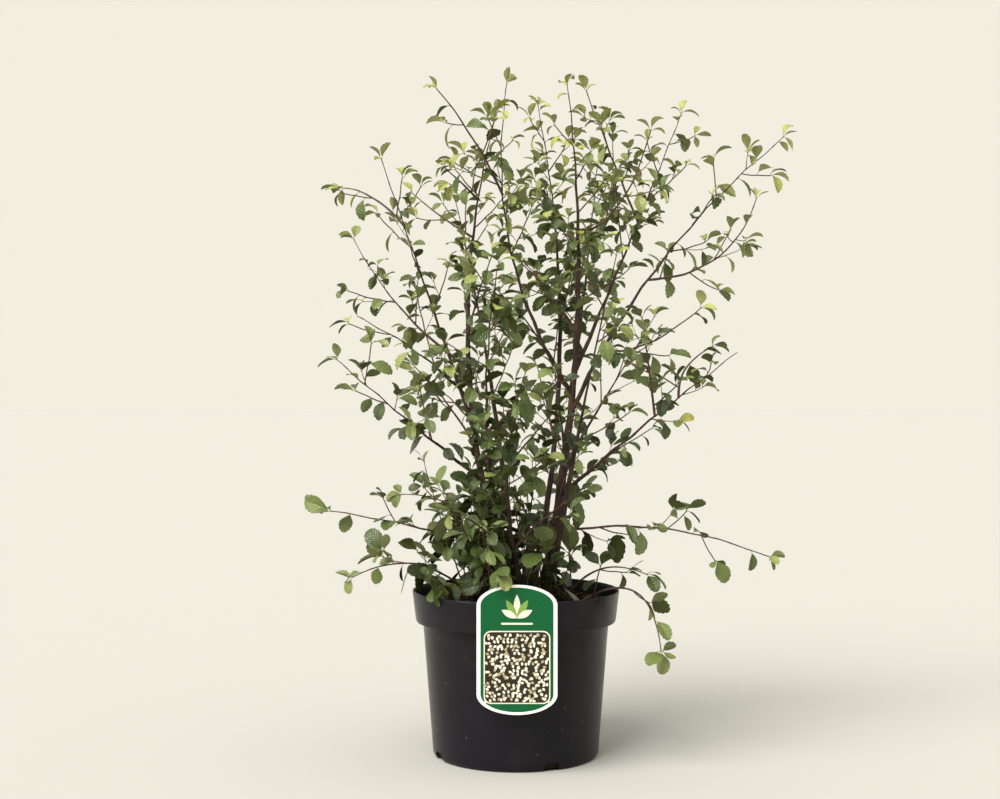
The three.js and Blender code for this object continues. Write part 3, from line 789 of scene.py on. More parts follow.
# how closely a limb or its mass is leaved against the others
FULLNESS = {
    "high": 0.75, "main": 0.85, "back": 1.4, "right_high": 0.95, "top": 1.1, "main_side": 0.6,
    "left_high": 0.34, "left": 0.38, "left_mid": 0.55, "left_low": 0.4, "left_foot": 0.55,
    "far_right": 0.5, "far_right_low": 0.45, "right_low": 0.55, "front_right": 0.55,
    "rear": 0.9, "rear_left": 0.6, "rear_low": 0.65, "rear_right": 0.15,
    "front_left": 1.35, "front": 0.9,
    "inner_mid": 1.0, "inner_left_mid": 1.3, "inner_front": 0.5, "inner_right": 0.8, "inner_left": 0.3,
    "inner_rear": 0.3, "inner_rear_left": 0.5, "inner_low": 0.35,
    "low_rear": 0.7, "low_rear_left": 0.95, "low_right": 0.28, "low_left": 0.3, "low_front": 1.2,
    "rim_right": 0.25, "rim_hanging": 0.5, "rim_front": 1.2, "rim_left": 0.95,
}
LEAFY_FROM = {"rim_hanging": 0.72, "left_foot": 0.1, "left_low": 0.12, "left_mid": 0.12}
BARE_END = {"right_low": 0.84, "left_low": 0.92}

# the leaves at a tip: how many, how far they hang or stand, their size, and how much fresher they are
Tuft = namedtuple("Tuft", "leaves lowest highest size freshness")
TUFT = Tuft(3, -0.5, 0.8, 1.0, 1.2)
HANGING_TUFTS = {"rim_front": Tuft(5, -1.2, -0.4, 1.1, 3.6), "rim_hanging": Tuft(6, 0.1, 1.0, 0.85, 4.6)}


class Leaves:
    """The leaves of the shrub, gathered by tint, with their stalks."""

    def __init__(self):
        self.by_tint = {tint: Heap() for tint in LEAF_TINTS}
        self.stalks = Heap()

    def add(self, place, way, radius, heading, size, form, tint, mass, rng):
        """One leaf on a short stalk that leaves the wood at that place."""
        out = unit(heading + UP * 0.35)
        stalk = (3.0 + 2.5 * rng.random()) * size
        foot = place + unit(heading - way * (heading @ way)) * radius * 0.5
        root = foot + out * (stalk + radius * 0.5)
        axis = unit(heading + UP * form["drop"])
        level = square_to(UP, axis)
        roll = form["roll"]
        across = level * math.cos(roll) + np.cross(axis, level) * math.sin(roll)
        length = LEAF_LENGTH * size
        upper, under = blade(root, axis, -across, length, form)
        heap = self.by_tint[tint]
        heap.add(upper, [BLADE_QUADS, BLADE_ENDS], 0, foliage_node(mass))
        heap.add(under, [UNDER_QUADS, BLADE_ENDS[:, ::-1]], 1)
        path = np.array([foot, (foot + root) / 2 + UP * 0.3, root, root + axis * length * 0.12])
        self.stalks.add(*tube(path, [0.55, 0.45, 0.4, 0.15], 4), stands_for=foliage_node(mass))


leaves = Leaves()


def height_share(place):
    return float(np.clip((place[2] - CROWN_FOOT) / (CROWN_TOP - CROWN_FOOT), 0, 1))


def spray_tint(place, share, rng):
    """How fresh a spray of leaves is, partly by its age and partly as painted light and shade: brightest high
    up and at the ends, where the young leaves grow and as painted light from above, deepest low down and
    inside, where the older leaves are and as painted shade for the crown's own shadow.
    """
    apart = math.hypot(place[0] - CROWN_MIDDLE, place[1]) / CROWN_SPREAD
    high = height_share(place)
    steady = 0.3 + 0.1 * high + 0.52 * high**4 + 0.12 * apart + 0.16 * share
    fresh = steady + (0.48 + 0.14 * high) * (rng.random() - 0.5)
    if rng.random() < YELLOWED:
        return "yellowing"
    return tint_names[int(np.clip(fresh * TINT_STEPS - TINT_START, 0, 6))]


def leaf_form(rng, place, tuft=None):
    """Level and arched over at the top of the shrub, broader, rounder and hanging lower down."""
    high = height_share(place)
    if tuft:
        drop = rng.uniform(tuft.lowest, tuft.highest)
    else:
        drop = 0.1 - 0.35 * high - (1.1 - 0.85 * high) * rng.random()
    return {
        "roundness": float(np.clip(1.1 - 1.5 * high + rng.normal(0, 0.25), 0, 1)),
        "drop": drop,
        "roll": math.radians(rng.normal(0, 36 - 16 * high)),
        "width": 0.7 - 0.12 * high + 0.16 * (rng.random() - 0.5),
        "curl": 0.35 + 0.4 * high + (0.7 + 0.2 * high) * rng.random(),
        "fold": math.radians(rng.normal(15 + 12 * high, 9)),
        "twist": rng.normal(0, 0.25),
    }


def leaf_size(place, rng):
    """A leaf's size against LEAF_LENGTH. Near the compost the leaves are larger, and a few much larger."""
    basal = math.exp(-((height_share(place) / 0.16) ** 2))
    large = 1.35 if basal > 0.3 and rng.random() < LARGE_LEAVES else 1.0
    return (0.76 + 0.1 * basal) * large * (0.74 + 0.5 * rng.random())


def dress(wood, start, end, outward, mass, rng, step, tuft=TUFT):
    """Leaves along a stretch of wood, each turned on from the last, and a tuft at its tip if that is leafy.
    Outward is how far out in the crown the wood's foot lies, and how much further its tip does."""
    along = start + step * 0.5 * rng.random()
    phase = 360 * rng.random()
    number = 0
    tint = None
    while along < end - 2:
        share = along / wood.length
        place, way, radius = wood.at(along)
        if tint is None or rng.random() < NEW_SPRAY:
            tint = spray_tint(place, outward[0] + outward[1] * share, rng)
        heading = sideways(way, 58 + 16 * (rng.random() - 0.5), phase + LEAF_TURN * number)
        size = leaf_size(place, rng) * (1 - (1 - END_SIZE) * share**1.5)
        leaves.add(place, way, radius, heading, size, leaf_form(rng, place), tint, mass, rng)
        number += 1
        along += step * (0.75 + 0.5 * rng.random())
    if end < wood.length:
        return
    place, way, radius = wood.at(wood.length)
    # tip leaves are fresher, and more so higher up, where the rise is partly painted light from above
    fresher = outward[0] + outward[1] + tuft.freshness * (0.25 + height_share(place) ** 2)
    for k in range(tuft.leaves):
        heading = sideways(way, 14 + 66 / tuft.leaves * k, phase + LEAF_TURN * (number + k))
        tint = spray_tint(place, fresher, rng)
        size = leaf_size(place, rng) * (END_SIZE - 0.04 * k) * tuft.size
        leaves.add(place, way, radius, heading, size, leaf_form(rng, place, tuft), tint, mass, rng)


def within(point, box, spare):
    low, high = box
    return all(low[k] / MM - spare <= point[k] <= high[k] / MM + spare for k in range(3))


def grow_sprig(wood, along, angle, turn, length, thick, host, share, mass_box):
    """A short side twig from that place on the wood, or nothing where it would leave its room."""
    place, way, _ = wood.at(along)
    sprig = Twig(place, sideways(way, angle, turn), length, taper(thick, SPRIG_TIP), share)
    a, b = sprig.curve.foot, sprig.curve.tip
    if not within(b + unit(b - a) * SPRIG_ROOM, mass_box, BOX_ROOM) or near_pot(b):
        return None
    if not taken.clear(a, b, thick / 2, host, SPRIG_CLEARANCE):
        return None
    taken.add(a, b, thick / 2, sprig)
    return sprig


def sprigs_along(shoot, wood, first, last, full, mass_box, rng):
    """Sprigs straight from a shoot, fewer and shorter towards its tip."""
    sprigs = []
    along = first + 14
    turn = 360 * rng.random()
    while along < last - 30:
        share = (along - first) / (last - first)
        turn += LEAF_TURN
        length = SPRIG_LENGTH * (1 - 0.4 * share) * (0.7 + 0.6 * rng.random())
        if rng.random() < full * (1.1 - share):
            sprigs.append(grow_sprig(wood, along, 48, turn, length, SHOOT_SPRIG, shoot, share, mass_box))
        along += SPRIG_SPACING * (0.8 + 0.4 * rng.random())
    return sprigs


def sprigs_on_twig(twig, path, full, mass_box, rng):
    sprigs = []
    for k in range(int(path.length / 30 * full * (1.25 - twig.share))):
        along = path.length * (0.25 + 0.5 * rng.random())
        turn = 360 * rng.random()
        length = 18 + 16 * rng.random()
        sprigs.append(grow_sprig(path, along, 46, turn, length, TWIG_SPRIG, twig, twig.share, mass_box))
    return sprigs


def grow_foliage(shoot, mass, mass_box, rng):
    """All the leaves, twigs and sprigs that one shoot carries."""
    full = FULLNESS.get(shoot.name, FULLNESS.get(mass, 1.0))
    wood = woods[shoot.name]
    first = wood.length * LEAFY_FROM.get(shoot.name, shoot.leafy)
    last = wood.length * BARE_END.get(shoot.name, 1)
    tuft = HANGING_TUFTS.get(shoot.name, TUFT)
    dress(wood, first + 8, last, (0.0, 1.0), mass, rng, SHOOT_LEAF_STEP / full, tuft)
    sprigs = sprigs_along(shoot, wood, first, last, full, mass_box, rng)
    for twig in main_twigs[shoot.name]:
        path = Wood(twig.curve, 0, WOOD_END, twig.radius_at, rng, TWIG_BENDS)
        twig_heap.add(*tube(path.points, path.radii, TWIG_SIDES), stands_for=foliage_node(mass))
        dress(path, 9, path.length, (twig.share * 0.6, 0.4), mass, rng, TWIG_LEAF_STEP / full)
        sprigs += sprigs_on_twig(twig, path, full, mass_box, rng)
    for sprig in filter(None, sprigs):
        path = Wood(sprig.curve, 0, WOOD_END, sprig.radius_at, rng, SPRIG_BENDS)
        sprig_heap.add(*tube(path.points, path.radii, SPRIG_SIDES), stands_for=foliage_node(mass))
        dress(path, 7, path.length, (sprig.share * 0.6, 0.4), mass, rng, SPRIG_LEAF_STEP / full)


for number, (mass, shoots) in enumerate(masses.items()):
    rng = np.random.default_rng([2 * SEED, number])
    mass_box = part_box("foliage_" + mass)
    for shoot in shoots:
        grow_foliage(shoot, mass, mass_box, rng)

# ---------- Young canes at the clump's foot ----------

CANE_TRIES, CANE_SPREAD, CANE_CENTRE, CANE_SUNK = 118, 64.0, (-2.0, 2.0), 5.0
CANE_RADIUS, CANE_CLEARANCE = 1.5, 0.4
# right of MAIN_SIDE the canes are shorter and stand only in front of MAIN_FRONT, and between LEAFY_SIDE and
# MAIN_SIDE they are bare
MAIN_SIDE, MAIN_FRONT, LEAFY_SIDE = 18.0, -22.0, 8.0

canes = Heap()
rng = np.random.default_rng([2 * SEED, len(masses)])
for i in range(CANE_TRIES):
    out, a = scattered(rng, CANE_SPREAD)
    x, y = CANE_CENTRE[0] + out * math.cos(a), CANE_CENTRE[1] + out * math.sin(a)
    foot = np.array([x, y, SOIL_LEVEL - CANE_SUNK])
    aim = direction(math.degrees(a) + rng.normal(0, 30), abs(rng.normal(12, 11)))
    length = 60 + 150 * rng.random()
    beside_main = x > MAIN_SIDE
    if beside_main:
        length *= 0.5
    cane = Twig(foot, aim, length, taper(1.8 + 1.4 * rng.random(), 1.0), 0.0)
    if beside_main and y > MAIN_FRONT:
        continue
    if not taken.clear(foot + aim * 8, cane.curve.tip, CANE_RADIUS, cane, CANE_CLEARANCE):
        continue
    taken.add(foot, cane.curve.tip, CANE_RADIUS, cane)
    path = Wood(cane.curve, 0, 1.0, cane.radius_at, rng, CANE_BENDS)
    canes.add(*tube(path.points, path.radii, CANE_SIDES))
    if (x < LEAFY_SIDE or beside_main) and rng.random() < 0.7:
        dress(path, 0.3 * path.length, path.length, (0.2, 0.3), None, rng, CANE_LEAF_STEP)

heap_piece("young_canes", canes, [young_bark], [])
heap_piece("side_shoots", side_shoots, [young_bark], side_shoots.nodes)
heap_piece("twigs", twig_heap, [young_bark], twig_heap.nodes)
heap_piece("sprigs", sprig_heap, [green_wood], sprig_heap.nodes)
heap_piece("leaf_stalks", leaves.stalks, [stalk_skin], leaves.stalks.nodes)
for tint, heap in leaves.by_tint.items():
    if heap.count:
        leaf_mesh = mesh_of("leaves_" + tint, heap, leaf_finishes[tint])
        mark_blades(leaf_mesh)
        piece("leaves_" + tint, leaf_mesh, heap.nodes)

# ---------- Pot ----------

POT_SEGMENTS = 192
POT_STEP = POT_HEIGHT - COLLAR_HEIGHT
POT_CRISP = 32


def body_radius(z):
    return (BODY_FOOT + (BODY_TOP - BODY_FOOT) * z / POT_STEP) / 2


def collar_radius(z):
    return (POT_RIM - (POT_RIM - COLLAR_FOOT) * (POT_HEIGHT - z) / COLLAR_HEIGHT) / 2


def lathe(profile, segments):
    """A closed turned shape from a profile that starts and ends on the axis."""
    inner = np.array(profile[1:-1], float)
    angle = 2 * math.pi * np.arange(segments) / segments
    across, deep = inner[:, :1] * np.cos(angle), inner[:, :1] * np.sin(angle)
    rings = np.stack([across, deep, np.repeat(inner[:, 1:], segments, axis=1)], axis=-1)
    ends = np.array([[0, 0, profile[0][1]], [0, 0, profile[-1][1]]], float)
    return np.vstack([rings.reshape(-1, 3), ends]), ring_faces(len(inner), segments)


def wall_line(radius_at, low, high, count, inset=0.0):
    return [(radius_at(z) - inset, z) for z in np.linspace(low, high, count)]


def pot_profile():
    """Up the outside from the middle of the foot, over the rolled rim, and down the inside."""
    foot, rim = body_radius(0), collar_radius(POT_HEIGHT)
    body, collar = body_radius(POT_STEP), collar_radius(POT_STEP)
    return [
        (0, 0),
        (60, 0),
        (foot - FOOT_BEVEL, 0),
        (foot - 3.2, 0.35),
        (foot - 1.5, 1.5),
        (foot - 0.5, 3.2),
        *wall_line(body_radius, FOOT_BEVEL, POT_STEP - 1.8, 12),
        (body + 0.3, POT_STEP - 0.7),
        (body + 1.4, POT_STEP),
        (collar - 1.6, POT_STEP),
        (collar - 0.5, POT_STEP + 0.4),
        (collar, POT_STEP + 1.6),
        *wall_line(collar_radius, POT_STEP + 4, POT_HEIGHT - 4, 5),
        (rim - 0.1, POT_HEIGHT - 1.6),
        (rim - 0.5, POT_HEIGHT - 0.5),
        (rim - 1.2, POT_HEIGHT),
        (rim - 1.9, POT_HEIGHT - 0.3),
        (rim - POT_WALL, POT_HEIGHT - 1.4),
        *wall_line(collar_radius, POT_HEIGHT - 5, POT_STEP + POT_WALL, 5, POT_WALL),
        (body - POT_WALL + 1, POT_STEP + POT_WALL),
        *wall_line(body_radius, POT_STEP, POT_FLOOR, 6, POT_WALL),
        (0, POT_FLOOR),
    ]


def notch_cutters():
    """Wedges that cut the drainage notches out of the pot's foot, narrower at their heads."""
    heap = Heap()
    wide, narrow = NOTCH_WIDTH / 2, NOTCH_WIDTH / 2 - 3.0
    head = [(narrow + 1.2, NOTCH_HEIGHT - 2.0), (narrow - 0.6, NOTCH_HEIGHT)]
    right = [(wide, -6.0), (wide - 0.6, 3.0), *head]
    outline = [(-wide, -6.0), *right, *[(-x, z) for x, z in right[:0:-1]]]
    for i in range(NOTCH_COUNT):
        a = math.radians(NOTCH_TURN + 360 * i / NOTCH_COUNT)
        points = []
        for y in (-body_radius(0) + 10, -body_radius(0) - 10):
            for x, z in outline:
                points.append((x * math.cos(a) - y * math.sin(a), x * math.sin(a) + y * math.cos(a), z))
        heap.add(np.array(points), prism_faces(len(outline)))
    return placed("notch_cutters", mesh_of("notch_cutters", heap, [], smooth=False))


def carved(name, mesh, cutters, angle):
    """The mesh with the cutters' shapes cut out of it, and its corners over that angle left crisp."""
    blank = placed(name, mesh)
    cut = blank.modifiers.new("cut", "BOOLEAN")
    cut.operation, cut.solver, cut.object = "DIFFERENCE", "EXACT", cutters
    bpy.context.view_layer.update()
    shaped = bpy.data.meshes.new_from_object(blank.evaluated_get(bpy.context.evaluated_depsgraph_get()))
    for used in (blank, cutters):
        bpy.data.objects.remove(used)
    shaped.name = name
    shaped.set_sharp_from_angle(angle=math.radians(angle))
    return shaped


def pot_plastic():
    """Injection-moulded polypropylene, charcoal black: a satin skin with a faint orange peel, garden dust
    and a few pale crumbs of soil."""
    material, tree = new_material("pot_polypropylene")
    place = (node(tree, "TexCoord"), "Object")
    peel = node(tree, "TexNoise", {"Scale": per_metre(2.2), "Detail": 3.0}, {"Vector": place})
    film = {"Scale": per_metre(34.0), "Detail": 5.0, "Roughness": 0.7}
    dust = node(tree, "TexNoise", film, {"Vector": place})
    dusty = {"From Min": 0.5, "From Max": 0.8, "To Min": 0.0, "To Max": 0.35}
    amount = node(tree, "MapRange", dusty, {"Value": dust})
    charcoal = {"data_type": "RGBA", 6: linear("#16151b"), 7: linear("#2b292c")}
    colour = node(tree, "Mix", charcoal, {0: amount})
    crumbs = node(tree, "TexVoronoi", {"feature": "F1", "Scale": per_metre(19.0)}, {"Vector": place})
    crumb = node(tree, "Math", {"operation": "LESS_THAN", 1: 0.034}, {0: crumbs})
    soil = {"data_type": "RGBA", 7: linear("#8d877c")}
    speckled = node(tree, "Mix", soil, {0: crumb, 6: (colour, 2)})
    duller = {"From Min": 0.35, "From Max": 0.75, "To Min": 0.26, "To Max": 0.38}
    rough = node(tree, "MapRange", duller, {"Value": dust})
    bump = node(tree, "Bump", {"Strength": 0.12, "Distance": 0.1 * MM}, {"Height": peel})
    skin = {"Base Color": (speckled, 2), "Roughness": rough, "Normal": bump}
    shader = node(tree, "BsdfPrincipled", {"Specular IOR Level": 0.17}, skin)
    node(tree, "OutputMaterial", links={"Surface": shader})
    return material


pot_heap = Heap()
pot_heap.add(*lathe(pot_profile(), POT_SEGMENTS))
pot_mesh = carved("pot_body", mesh_of("pot_blank", pot_heap, [pot_plastic()]), notch_cutters(), POT_CRISP)
piece("pot_body", pot_mesh, ["pot"])

# ---------- Compost ----------

COMPOST_RINGS, COMPOST_SEGMENTS = 46, 132
COMPOST_GAP = 0.6
BED_DROP, CRUMB_HEIGHT = 1.6, 0.7
CHIP_COUNT, CHIP_REACH, CHIP_EDGE = 2600, 131.0, 131.5
LITTER_COUNT, LITTER_REACH, LITTER_EDGE = 190, 118.0, 128.0


def compost_skin(name, dark, light, grain_mm):
    """Peat and composted bark: dull, open and crumbly."""
    material, tree = new_material(name)
    place = node(tree, "TexCoord")
    crumbly = {"Scale": per_metre(grain_mm), "Detail": 6.0, "Roughness": 0.7}
    crumbs = node(tree, "TexNoise", crumbly, {"Vector": (place, "Object")})
    ramp = node(tree, "ValToRGB", links={"Fac": crumbs})
    for stop, position, colour in zip(ramp.color_ramp.elements, (0.35, 0.7), (dark, light)):
        stop.position, stop.color = position, linear(colour)
    bump = node(tree, "Bump", {"Strength": 0.9, "Distance": MM}, {"Height": crumbs})
    dull = {"Roughness": 0.92, "Specular IOR Level": 0.15}
    shader = node(tree, "BsdfPrincipled", dull, {"Base Color": ramp, "Normal": bump})
    node(tree, "OutputMaterial", links={"Surface": shader})
    return material


peat = compost_skin("peat_compost", "#15100d", "#33291f", 4.0)
chip_finishes = [
    compost_skin("pine_bark_dark", "#1b1511", "#3b2d24", 3.0),
    compost_skin("pine_bark_brown", "#2e231b", "#57422f", 3.0),
    compost_skin("pine_bark_grey", "#3d362f", "#6b6157", 3.0),
]

rng = np.random.default_rng(3 * SEED)
# lumps and hollows: where each lies, how high it rises and how wide it is
HOLLOWS = rng.normal(size=(60, 4)) * [70, 70, 1.1, 5] + [0, 0, 0, 17]


def compost_height(x, y):
    """The level of the compost at a place: lumps and hollows over a bed a little below the stems' feet, and
    a low mound round the clump."""
    height = np.full(np.shape(x), SOIL_LEVEL - BED_DROP)
    for cx, cy, rise, size in HOLLOWS:
        size = max(abs(size), 8)
        height = height + rise * np.exp(-((x - cx) ** 2 + (y - cy) ** 2) / (2 * size * size))
    return height + 1.6 * np.exp(-((x - 20) ** 2 + (y - 8) ** 2) / 3200)


def within_wall(radius):
    """How far out the compost reaches where the pot's outside has that radius."""
    return radius - POT_WALL - COMPOST_GAP


def compost_bed():
    """A closed bed: crumbly rings from its middle out to the wall, then down the inside of the pot."""
    edge = within_wall(collar_radius(SOIL_LEVEL - 3))
    r = edge * (np.arange(1, COMPOST_RINGS + 1) / COMPOST_RINGS)
    angle = 2 * math.pi * np.arange(COMPOST_SEGMENTS) / COMPOST_SEGMENTS
    c, s = np.cos(angle), np.sin(angle)
    x, y = r[:, None] * c, r[:, None] * s
    z = compost_height(x, y) + rng.normal(size=x.shape) * CRUMB_HEIGHT * (r[:, None] < edge - 2)
    top = np.stack([x, y, z], axis=-1).reshape(-1, 3)
    step = POT_STEP + POT_WALL + JOINT
    foot = POT_FLOOR + JOINT
    skirt = [
        (within_wall(collar_radius(step)), step),
        (within_wall(body_radius(step)), step),
        (within_wall(body_radius(POT_FLOOR)), foot),
    ]
    low = [np.stack([q * c, q * s, np.full_like(angle, h)], axis=-1) for q, h in skirt]
    points = np.vstack([top, *low, [[0, 0, compost_height(0.0, 0.0)], [0, 0, foot]]])
    quads, centre, under = ring_faces(COMPOST_RINGS + len(skirt), COMPOST_SEGMENTS)
    return points, [quads[:, [0, 3, 2, 1]], centre[:, [1, 0, 2]], under[:, [1, 0, 2]]]


CHIP_FACES = np.array([(0, 3, 2, 1), (4, 5, 6, 7), (0, 1, 5, 4), (1, 2, 6, 5), (2, 3, 7, 6), (3, 0, 4, 7)])
SQUARE = ((-1, -1), (1, -1), (1, 1), (-1, 1))
CHIP_CORNERS = np.array([(x, y, z) for z in (-1, 1) for x, y in SQUARE], float)


def chip(place, size, tilt, turn, rng):
    """A flake of bark, a squashed block with broken corners."""
    corners = CHIP_CORNERS * (0.62 + 0.38 * rng.random((8, 3))) * size / 2
    ca, sa, cb, sb = math.cos(turn), math.sin(turn), math.cos(tilt), math.sin(tilt)
    tip = np.array([[cb, 0, sb], [0, 1, 0], [-sb, 0, cb]])
    spin = np.array([[ca, -sa, 0], [sa, ca, 0], [0, 0, 1]])
    return corners @ (spin @ tip).T + place


compost_heap = Heap()
compost_heap.add(*compost_bed())
heap_piece("compost_bed", compost_heap, [peat], ["compost"])

chips = Heap()
for i in range(CHIP_COUNT):
    out, a = scattered(rng, CHIP_REACH)
    x, y = out * math.cos(a), out * math.sin(a)
    length = 3 + 11 * rng.random() ** 2.2
    size = np.array([length, length * (0.35 + 0.4 * rng.random()), 1.0 + 0.22 * length * rng.random()])
    if out + length / 2 > CHIP_EDGE:
        continue
    place = np.array([x, y, float(compost_height(x, y)) + 0.35 * size[2] + 1.0 * rng.random()])
    finish = int(np.searchsorted([0.55, 0.9, 1.0], rng.random()))
    chips.add(chip(place, size, rng.normal(0, 0.3), 2 * math.pi * rng.random(), rng), [CHIP_FACES], finish)
heap_piece("bark_chips", chips, chip_finishes, ["compost"], smooth=False)

litter = Heap()
for i in range(LITTER_COUNT):
    out, a = scattered(rng, LITTER_REACH)
    x, y = out * math.cos(a), out * math.sin(a)
    length = 12 + 30 * rng.random()
    turn = 2 * math.pi * rng.random()
    lift = 0.5 * abs(rng.normal(0, 0.35))
    way = np.array([math.cos(turn), math.sin(turn), lift])
    if math.hypot(*(np.array([x, y]) + way[:2] * length)) > LITTER_EDGE:
        continue
    start = np.array([x, y, float(compost_height(x, y)) + 0.8])
    side = np.array([-way[1], way[0], 0.3]) * length * rng.normal(0, 0.12)
    path = np.array([start + way * length * s + side * 4 * s * (1 - s) for s in np.linspace(0, 1, 6)])
    litter.add(*tube(path, np.linspace(0.7, 0.35, 6), 5))
heap_piece("root_litter", litter, [young_bark], [])

# ---------- Label ----------

LABEL_WIDTH, LABEL_FOOT, LABEL_TOP, LABEL_RISE = 102.0, 81.0, 245.0, 26.0
LABEL_EDGE = 5.0
LABEL_BACK = -POT_RIM / 2 - JOINT
LABEL_FRONT = LABEL_BACK - 0.9
PRINT = 0.12
CLIP_WIDTH, CLIP_REACH, CLIP_THICK, CLIP_ROOT = 18.0, 12.0, 1.2, 0.5
PANEL_MIDDLE, PANEL_WIDTH, PANEL_HEIGHT, PANEL_CORNER, PANEL_LINE = 141, 84, 92, 9, 3
SPRIG_FOOT, SPRIG_LEAF_WIDTH, BAR_MIDDLE = 203, 8.5, 196
SPRIG_LEAVES = ((-62, 22), (-31, 27), (0, 30), (31, 27), (62, 22))
SEED_ROWS, SEED_COLUMNS, SEED_EDGE = 19, 18, 38.5


def label_outline(inset, steps=36):
    """The label's outline, straight at its sides with a flat arch at each end, that far inside its edge."""
    half, rise = LABEL_WIDTH / 2 - inset, LABEL_RISE - inset * 0.7
    top, foot = LABEL_TOP - LABEL_RISE, LABEL_FOOT + LABEL_RISE
    a = np.linspace(0, math.pi, steps)
    upper = np.stack([half * np.cos(a), top + rise * np.sin(a)], axis=1)
    lower = np.stack([-half * np.cos(a), foot - rise * np.sin(a)], axis=1)
    return np.vstack([upper, lower])


def leaf_outline(x, z, wide, high, turn, steps=9):
    """A pointed oval that stands on its foot."""
    s = np.linspace(0, 1, steps)
    half = wide / 2 * np.sin(math.pi * s) ** 0.9
    right = np.stack([half, high * s], axis=1)
    left = np.stack([-half[1:-1], high * s[1:-1]], axis=1)[::-1]
    c, n = math.cos(turn), math.sin(turn)
    return np.vstack([right, left]) @ np.array([[c, n], [-n, c]]) + (x, z)


def rounded_box(z, wide, high, corner, steps=6):
    points = []
    for cx, cz, start in ((1, 1, 0), (-1, 1, 90), (-1, -1, 180), (1, -1, 270)):
        middle_x, middle_z = cx * (wide / 2 - corner), z + cz * (high / 2 - corner)
        for a in np.radians(np.linspace(start, start + 90, steps)):
            points.append((middle_x + corner * math.cos(a), middle_z + corner * math.sin(a)))
    return np.array(points)


def slab(outline, back, front):
    """A flat shape with that outline, seen from the front."""
    count = len(outline)
    points = np.vstack([np.insert(outline, 1, front, axis=1), np.insert(outline, 1, back, axis=1)])
    k = np.arange(count)
    after = (k + 1) % count
    return points, [k[None], (k + count)[None, ::-1], np.stack([after, k, k + count, after + count], axis=1)]


def printed(name, colour, roughness):
    """Gloss-varnished print on the polypropylene card: an even ink film with a faint roller grain."""
    material, tree = new_material(name)
    place = node(tree, "TexCoord")
    roller = {"Scale": per_metre(1.2), "Detail": 2.0}
    grain = node(tree, "TexNoise", roller, {"Vector": (place, "Object")})
    range_of = {"From Min": 0.3, "From Max": 0.7, "To Min": roughness - 0.05, "To Max": roughness + 0.05}
    rough = node(tree, "MapRange", range_of, {"Value": grain})
    bump = node(tree, "Bump", {"Strength": 0.1, "Distance": 0.1 * MM}, {"Height": grain})
    ink = {"Base Color": linear(colour), "Specular IOR Level": 0.25}
    shader = node(tree, "BsdfPrincipled", ink, {"Roughness": rough, "Normal": bump})
    node(tree, "OutputMaterial", links={"Surface": shader})
    return material


white_card = printed("white_label_card", "#f1f1ef", 0.38)
green_ink = printed("green_ink", "#00582e", 0.3)
PANEL_INK, PALE_INK, SAND_INK, LEAF_INK = range(4)
inks = [
    printed("dark_panel_ink", "#2b261b", 0.32),
    printed("pale_ink", "#e9e3d2", 0.35),
    printed("sand_ink", "#b3a588", 0.35),
    printed("leaf_ink", "#7fa04f", 0.35),
]


def label_card():
    """The card, with the clip at its back that hooks over the pot's rim."""
    plate = Heap()
    plate.add(*slab(label_outline(0.0), LABEL_BACK, LABEL_FRONT))
    over = POT_HEIGHT + JOINT
    inside = 4 * JOINT - (collar_radius(over - CLIP_REACH) - POT_WALL)
    hook = [
        (LABEL_BACK - CLIP_ROOT, over),
        (inside, over),
        (inside, over - CLIP_REACH),
        (inside + CLIP_THICK, over - CLIP_REACH),
        (inside + CLIP_THICK, over + CLIP_THICK),
        (LABEL_BACK - CLIP_ROOT, over + CLIP_THICK),
    ]
    flanks = [np.insert(hook, 0, x, axis=1) for x in (-CLIP_WIDTH / 2, CLIP_WIDTH / 2)]
    plate.add(np.vstack(flanks), prism_faces(len(hook)))
    return plate


def label_motif():
    """A sprig of five leaves over a bar, and a framed dark panel sown with small pale seeds. Each layer of
    print has a plane of its own, and seeds that may overlap lie at different heights."""
    motif = Heap()
    first, second, third, fourth = (LABEL_FRONT - PRINT * n for n in (1, 2, 3, 4))
    frame_size = PANEL_WIDTH, PANEL_HEIGHT, PANEL_CORNER
    panel_size = PANEL_WIDTH - PANEL_LINE, PANEL_HEIGHT - PANEL_LINE, PANEL_CORNER - 1
    motif.add(*slab(rounded_box(PANEL_MIDDLE, *frame_size), first, second), PALE_INK)
    motif.add(*slab(rounded_box(PANEL_MIDDLE, *panel_size), second, third), PANEL_INK)
    widest = SPRIG_LEAVES[-1][0]
    for turn, high in SPRIG_LEAVES:
        leaf = leaf_outline(0, SPRIG_FOOT, SPRIG_LEAF_WIDTH, high, math.radians(turn))
        ink = LEAF_INK if turn % widest else PALE_INK
        motif.add(*slab(leaf, first, second - abs(turn) / widest * PRINT), ink)
    motif.add(*slab(rounded_box(BAR_MIDDLE, 40, 2.4, 1.1), first, second), PALE_INK)
    seeds = np.random.default_rng(5 * SEED)
    for row in range(SEED_ROWS):
        for column in range(SEED_COLUMNS):
            x = -37.4 + column * 4.4 + (2.2 if row % 2 else 0) + seeds.normal(0, 0.5)
            z = 100.5 + row * 4.5 + seeds.normal(0, 0.5)
            if abs(x) > SEED_EDGE or seeds.random() < 0.12:
                continue
            outline = leaf_outline(x, z - 2, 3.3, 4.8, math.radians(seeds.normal(0, 60)), 5)
            front = fourth - PRINT * (row % 2 + 2 * (column % 2)) / 4
            motif.add(*slab(outline, third, front), PALE_INK if seeds.random() < 0.7 else SAND_INK)
    return motif


ground = Heap()
ground.add(*slab(label_outline(LABEL_EDGE), LABEL_FRONT, LABEL_FRONT - PRINT))
heap_piece("label_card", label_card(), [white_card], ["label"], smooth=False)
heap_piece("label_ground", ground, [green_ink], ["label"], smooth=False)
heap_piece("label_motif", label_motif(), inks, ["label"], smooth=False)

# ---------- Floor and light ----------

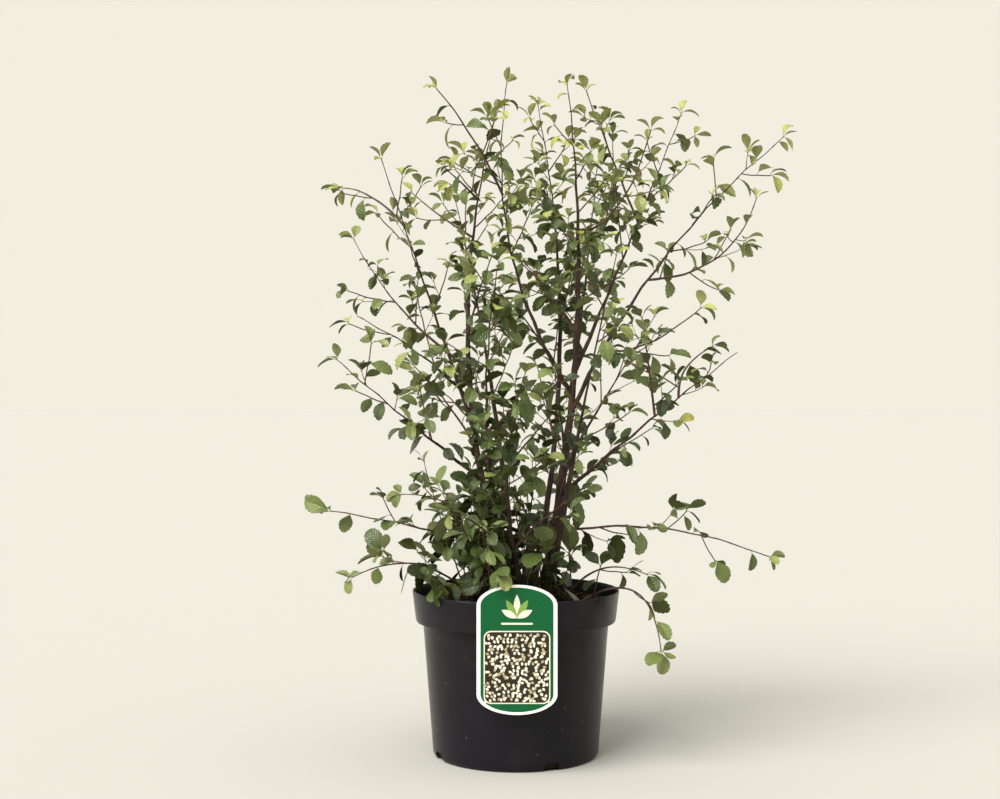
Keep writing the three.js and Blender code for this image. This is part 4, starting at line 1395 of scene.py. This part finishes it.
PAPER = (0.4925, 0.494, 0.485, 1.0)
HORIZON, BETWEEN, OVERHEAD = 1.0, 0.35, 1.8
LIGHT_COLOUR = "#fffaf0"


def add_floor():
    """Matt studio paper, as bright under the lights as the horizon behind it."""
    material, tree = new_material("studio_paper")
    node(tree, "OutputMaterial", links={"Surface": node(tree, "BsdfDiffuse", {"Color": PAPER})})
    mesh = bpy.data.meshes.new("studio_floor")
    mesh.from_pydata([(-30, -30, 0), (30, -30, 0), (30, 60, 0), (-30, 60, 0)], [], [(0, 1, 2, 3)])
    mesh.materials.append(material)
    studio_floor = placed("studio_floor", mesh)


def add_world():
    """Soft light all round: bright at the horizon, dimmer above it and brightest overhead."""
    world = bpy.data.worlds.new("studio")
    bpy.context.scene.world = world
    world.use_nodes = True
    tree = world.node_tree
    background = tree.nodes["Background"]
    background.inputs["Color"].default_value = linear("#f2eee0")
    way = node(tree, "SeparateXYZ", links={0: (node(tree, "TexCoord"), "Generated")})
    falling = {"interpolation_type": "SMOOTHSTEP", 1: 0.3, 2: 0.5, 3: HORIZON, 4: BETWEEN}
    low = node(tree, "MapRange", falling, {0: (way, "Z")})
    rising = {"interpolation_type": "SMOOTHSTEP", 1: 0.65, 2: 0.9, 3: 0.0, 4: OVERHEAD - BETWEEN}
    high = node(tree, "MapRange", rising, {0: (way, "Z")})
    brightness = node(tree, "Math", {"operation": "ADD"}, {0: low, 1: high})
    tree.links.new(brightness.outputs[0], background.inputs["Strength"])


def add_sun(name, strength, width, towards):
    sun = bpy.data.lights.new(name, "SUN")
    sun.energy = strength
    sun.angle = math.radians(width)
    sun.color = linear(LIGHT_COLOUR)[:3]
    light = placed(name, sun)
    light.rotation_mode = "QUATERNION"
    light.rotation_quaternion = Vector(towards).to_track_quat("Z", "Y")


add_floor()
add_world()
add_sun("soft_key", 3.6, 40, (-0.45, -0.5, 0.74))
add_sun("edge_light", 0.8, 16, (-0.84, -0.5, 0.16))
bpy.context.scene.view_settings.view_transform = "Standard"
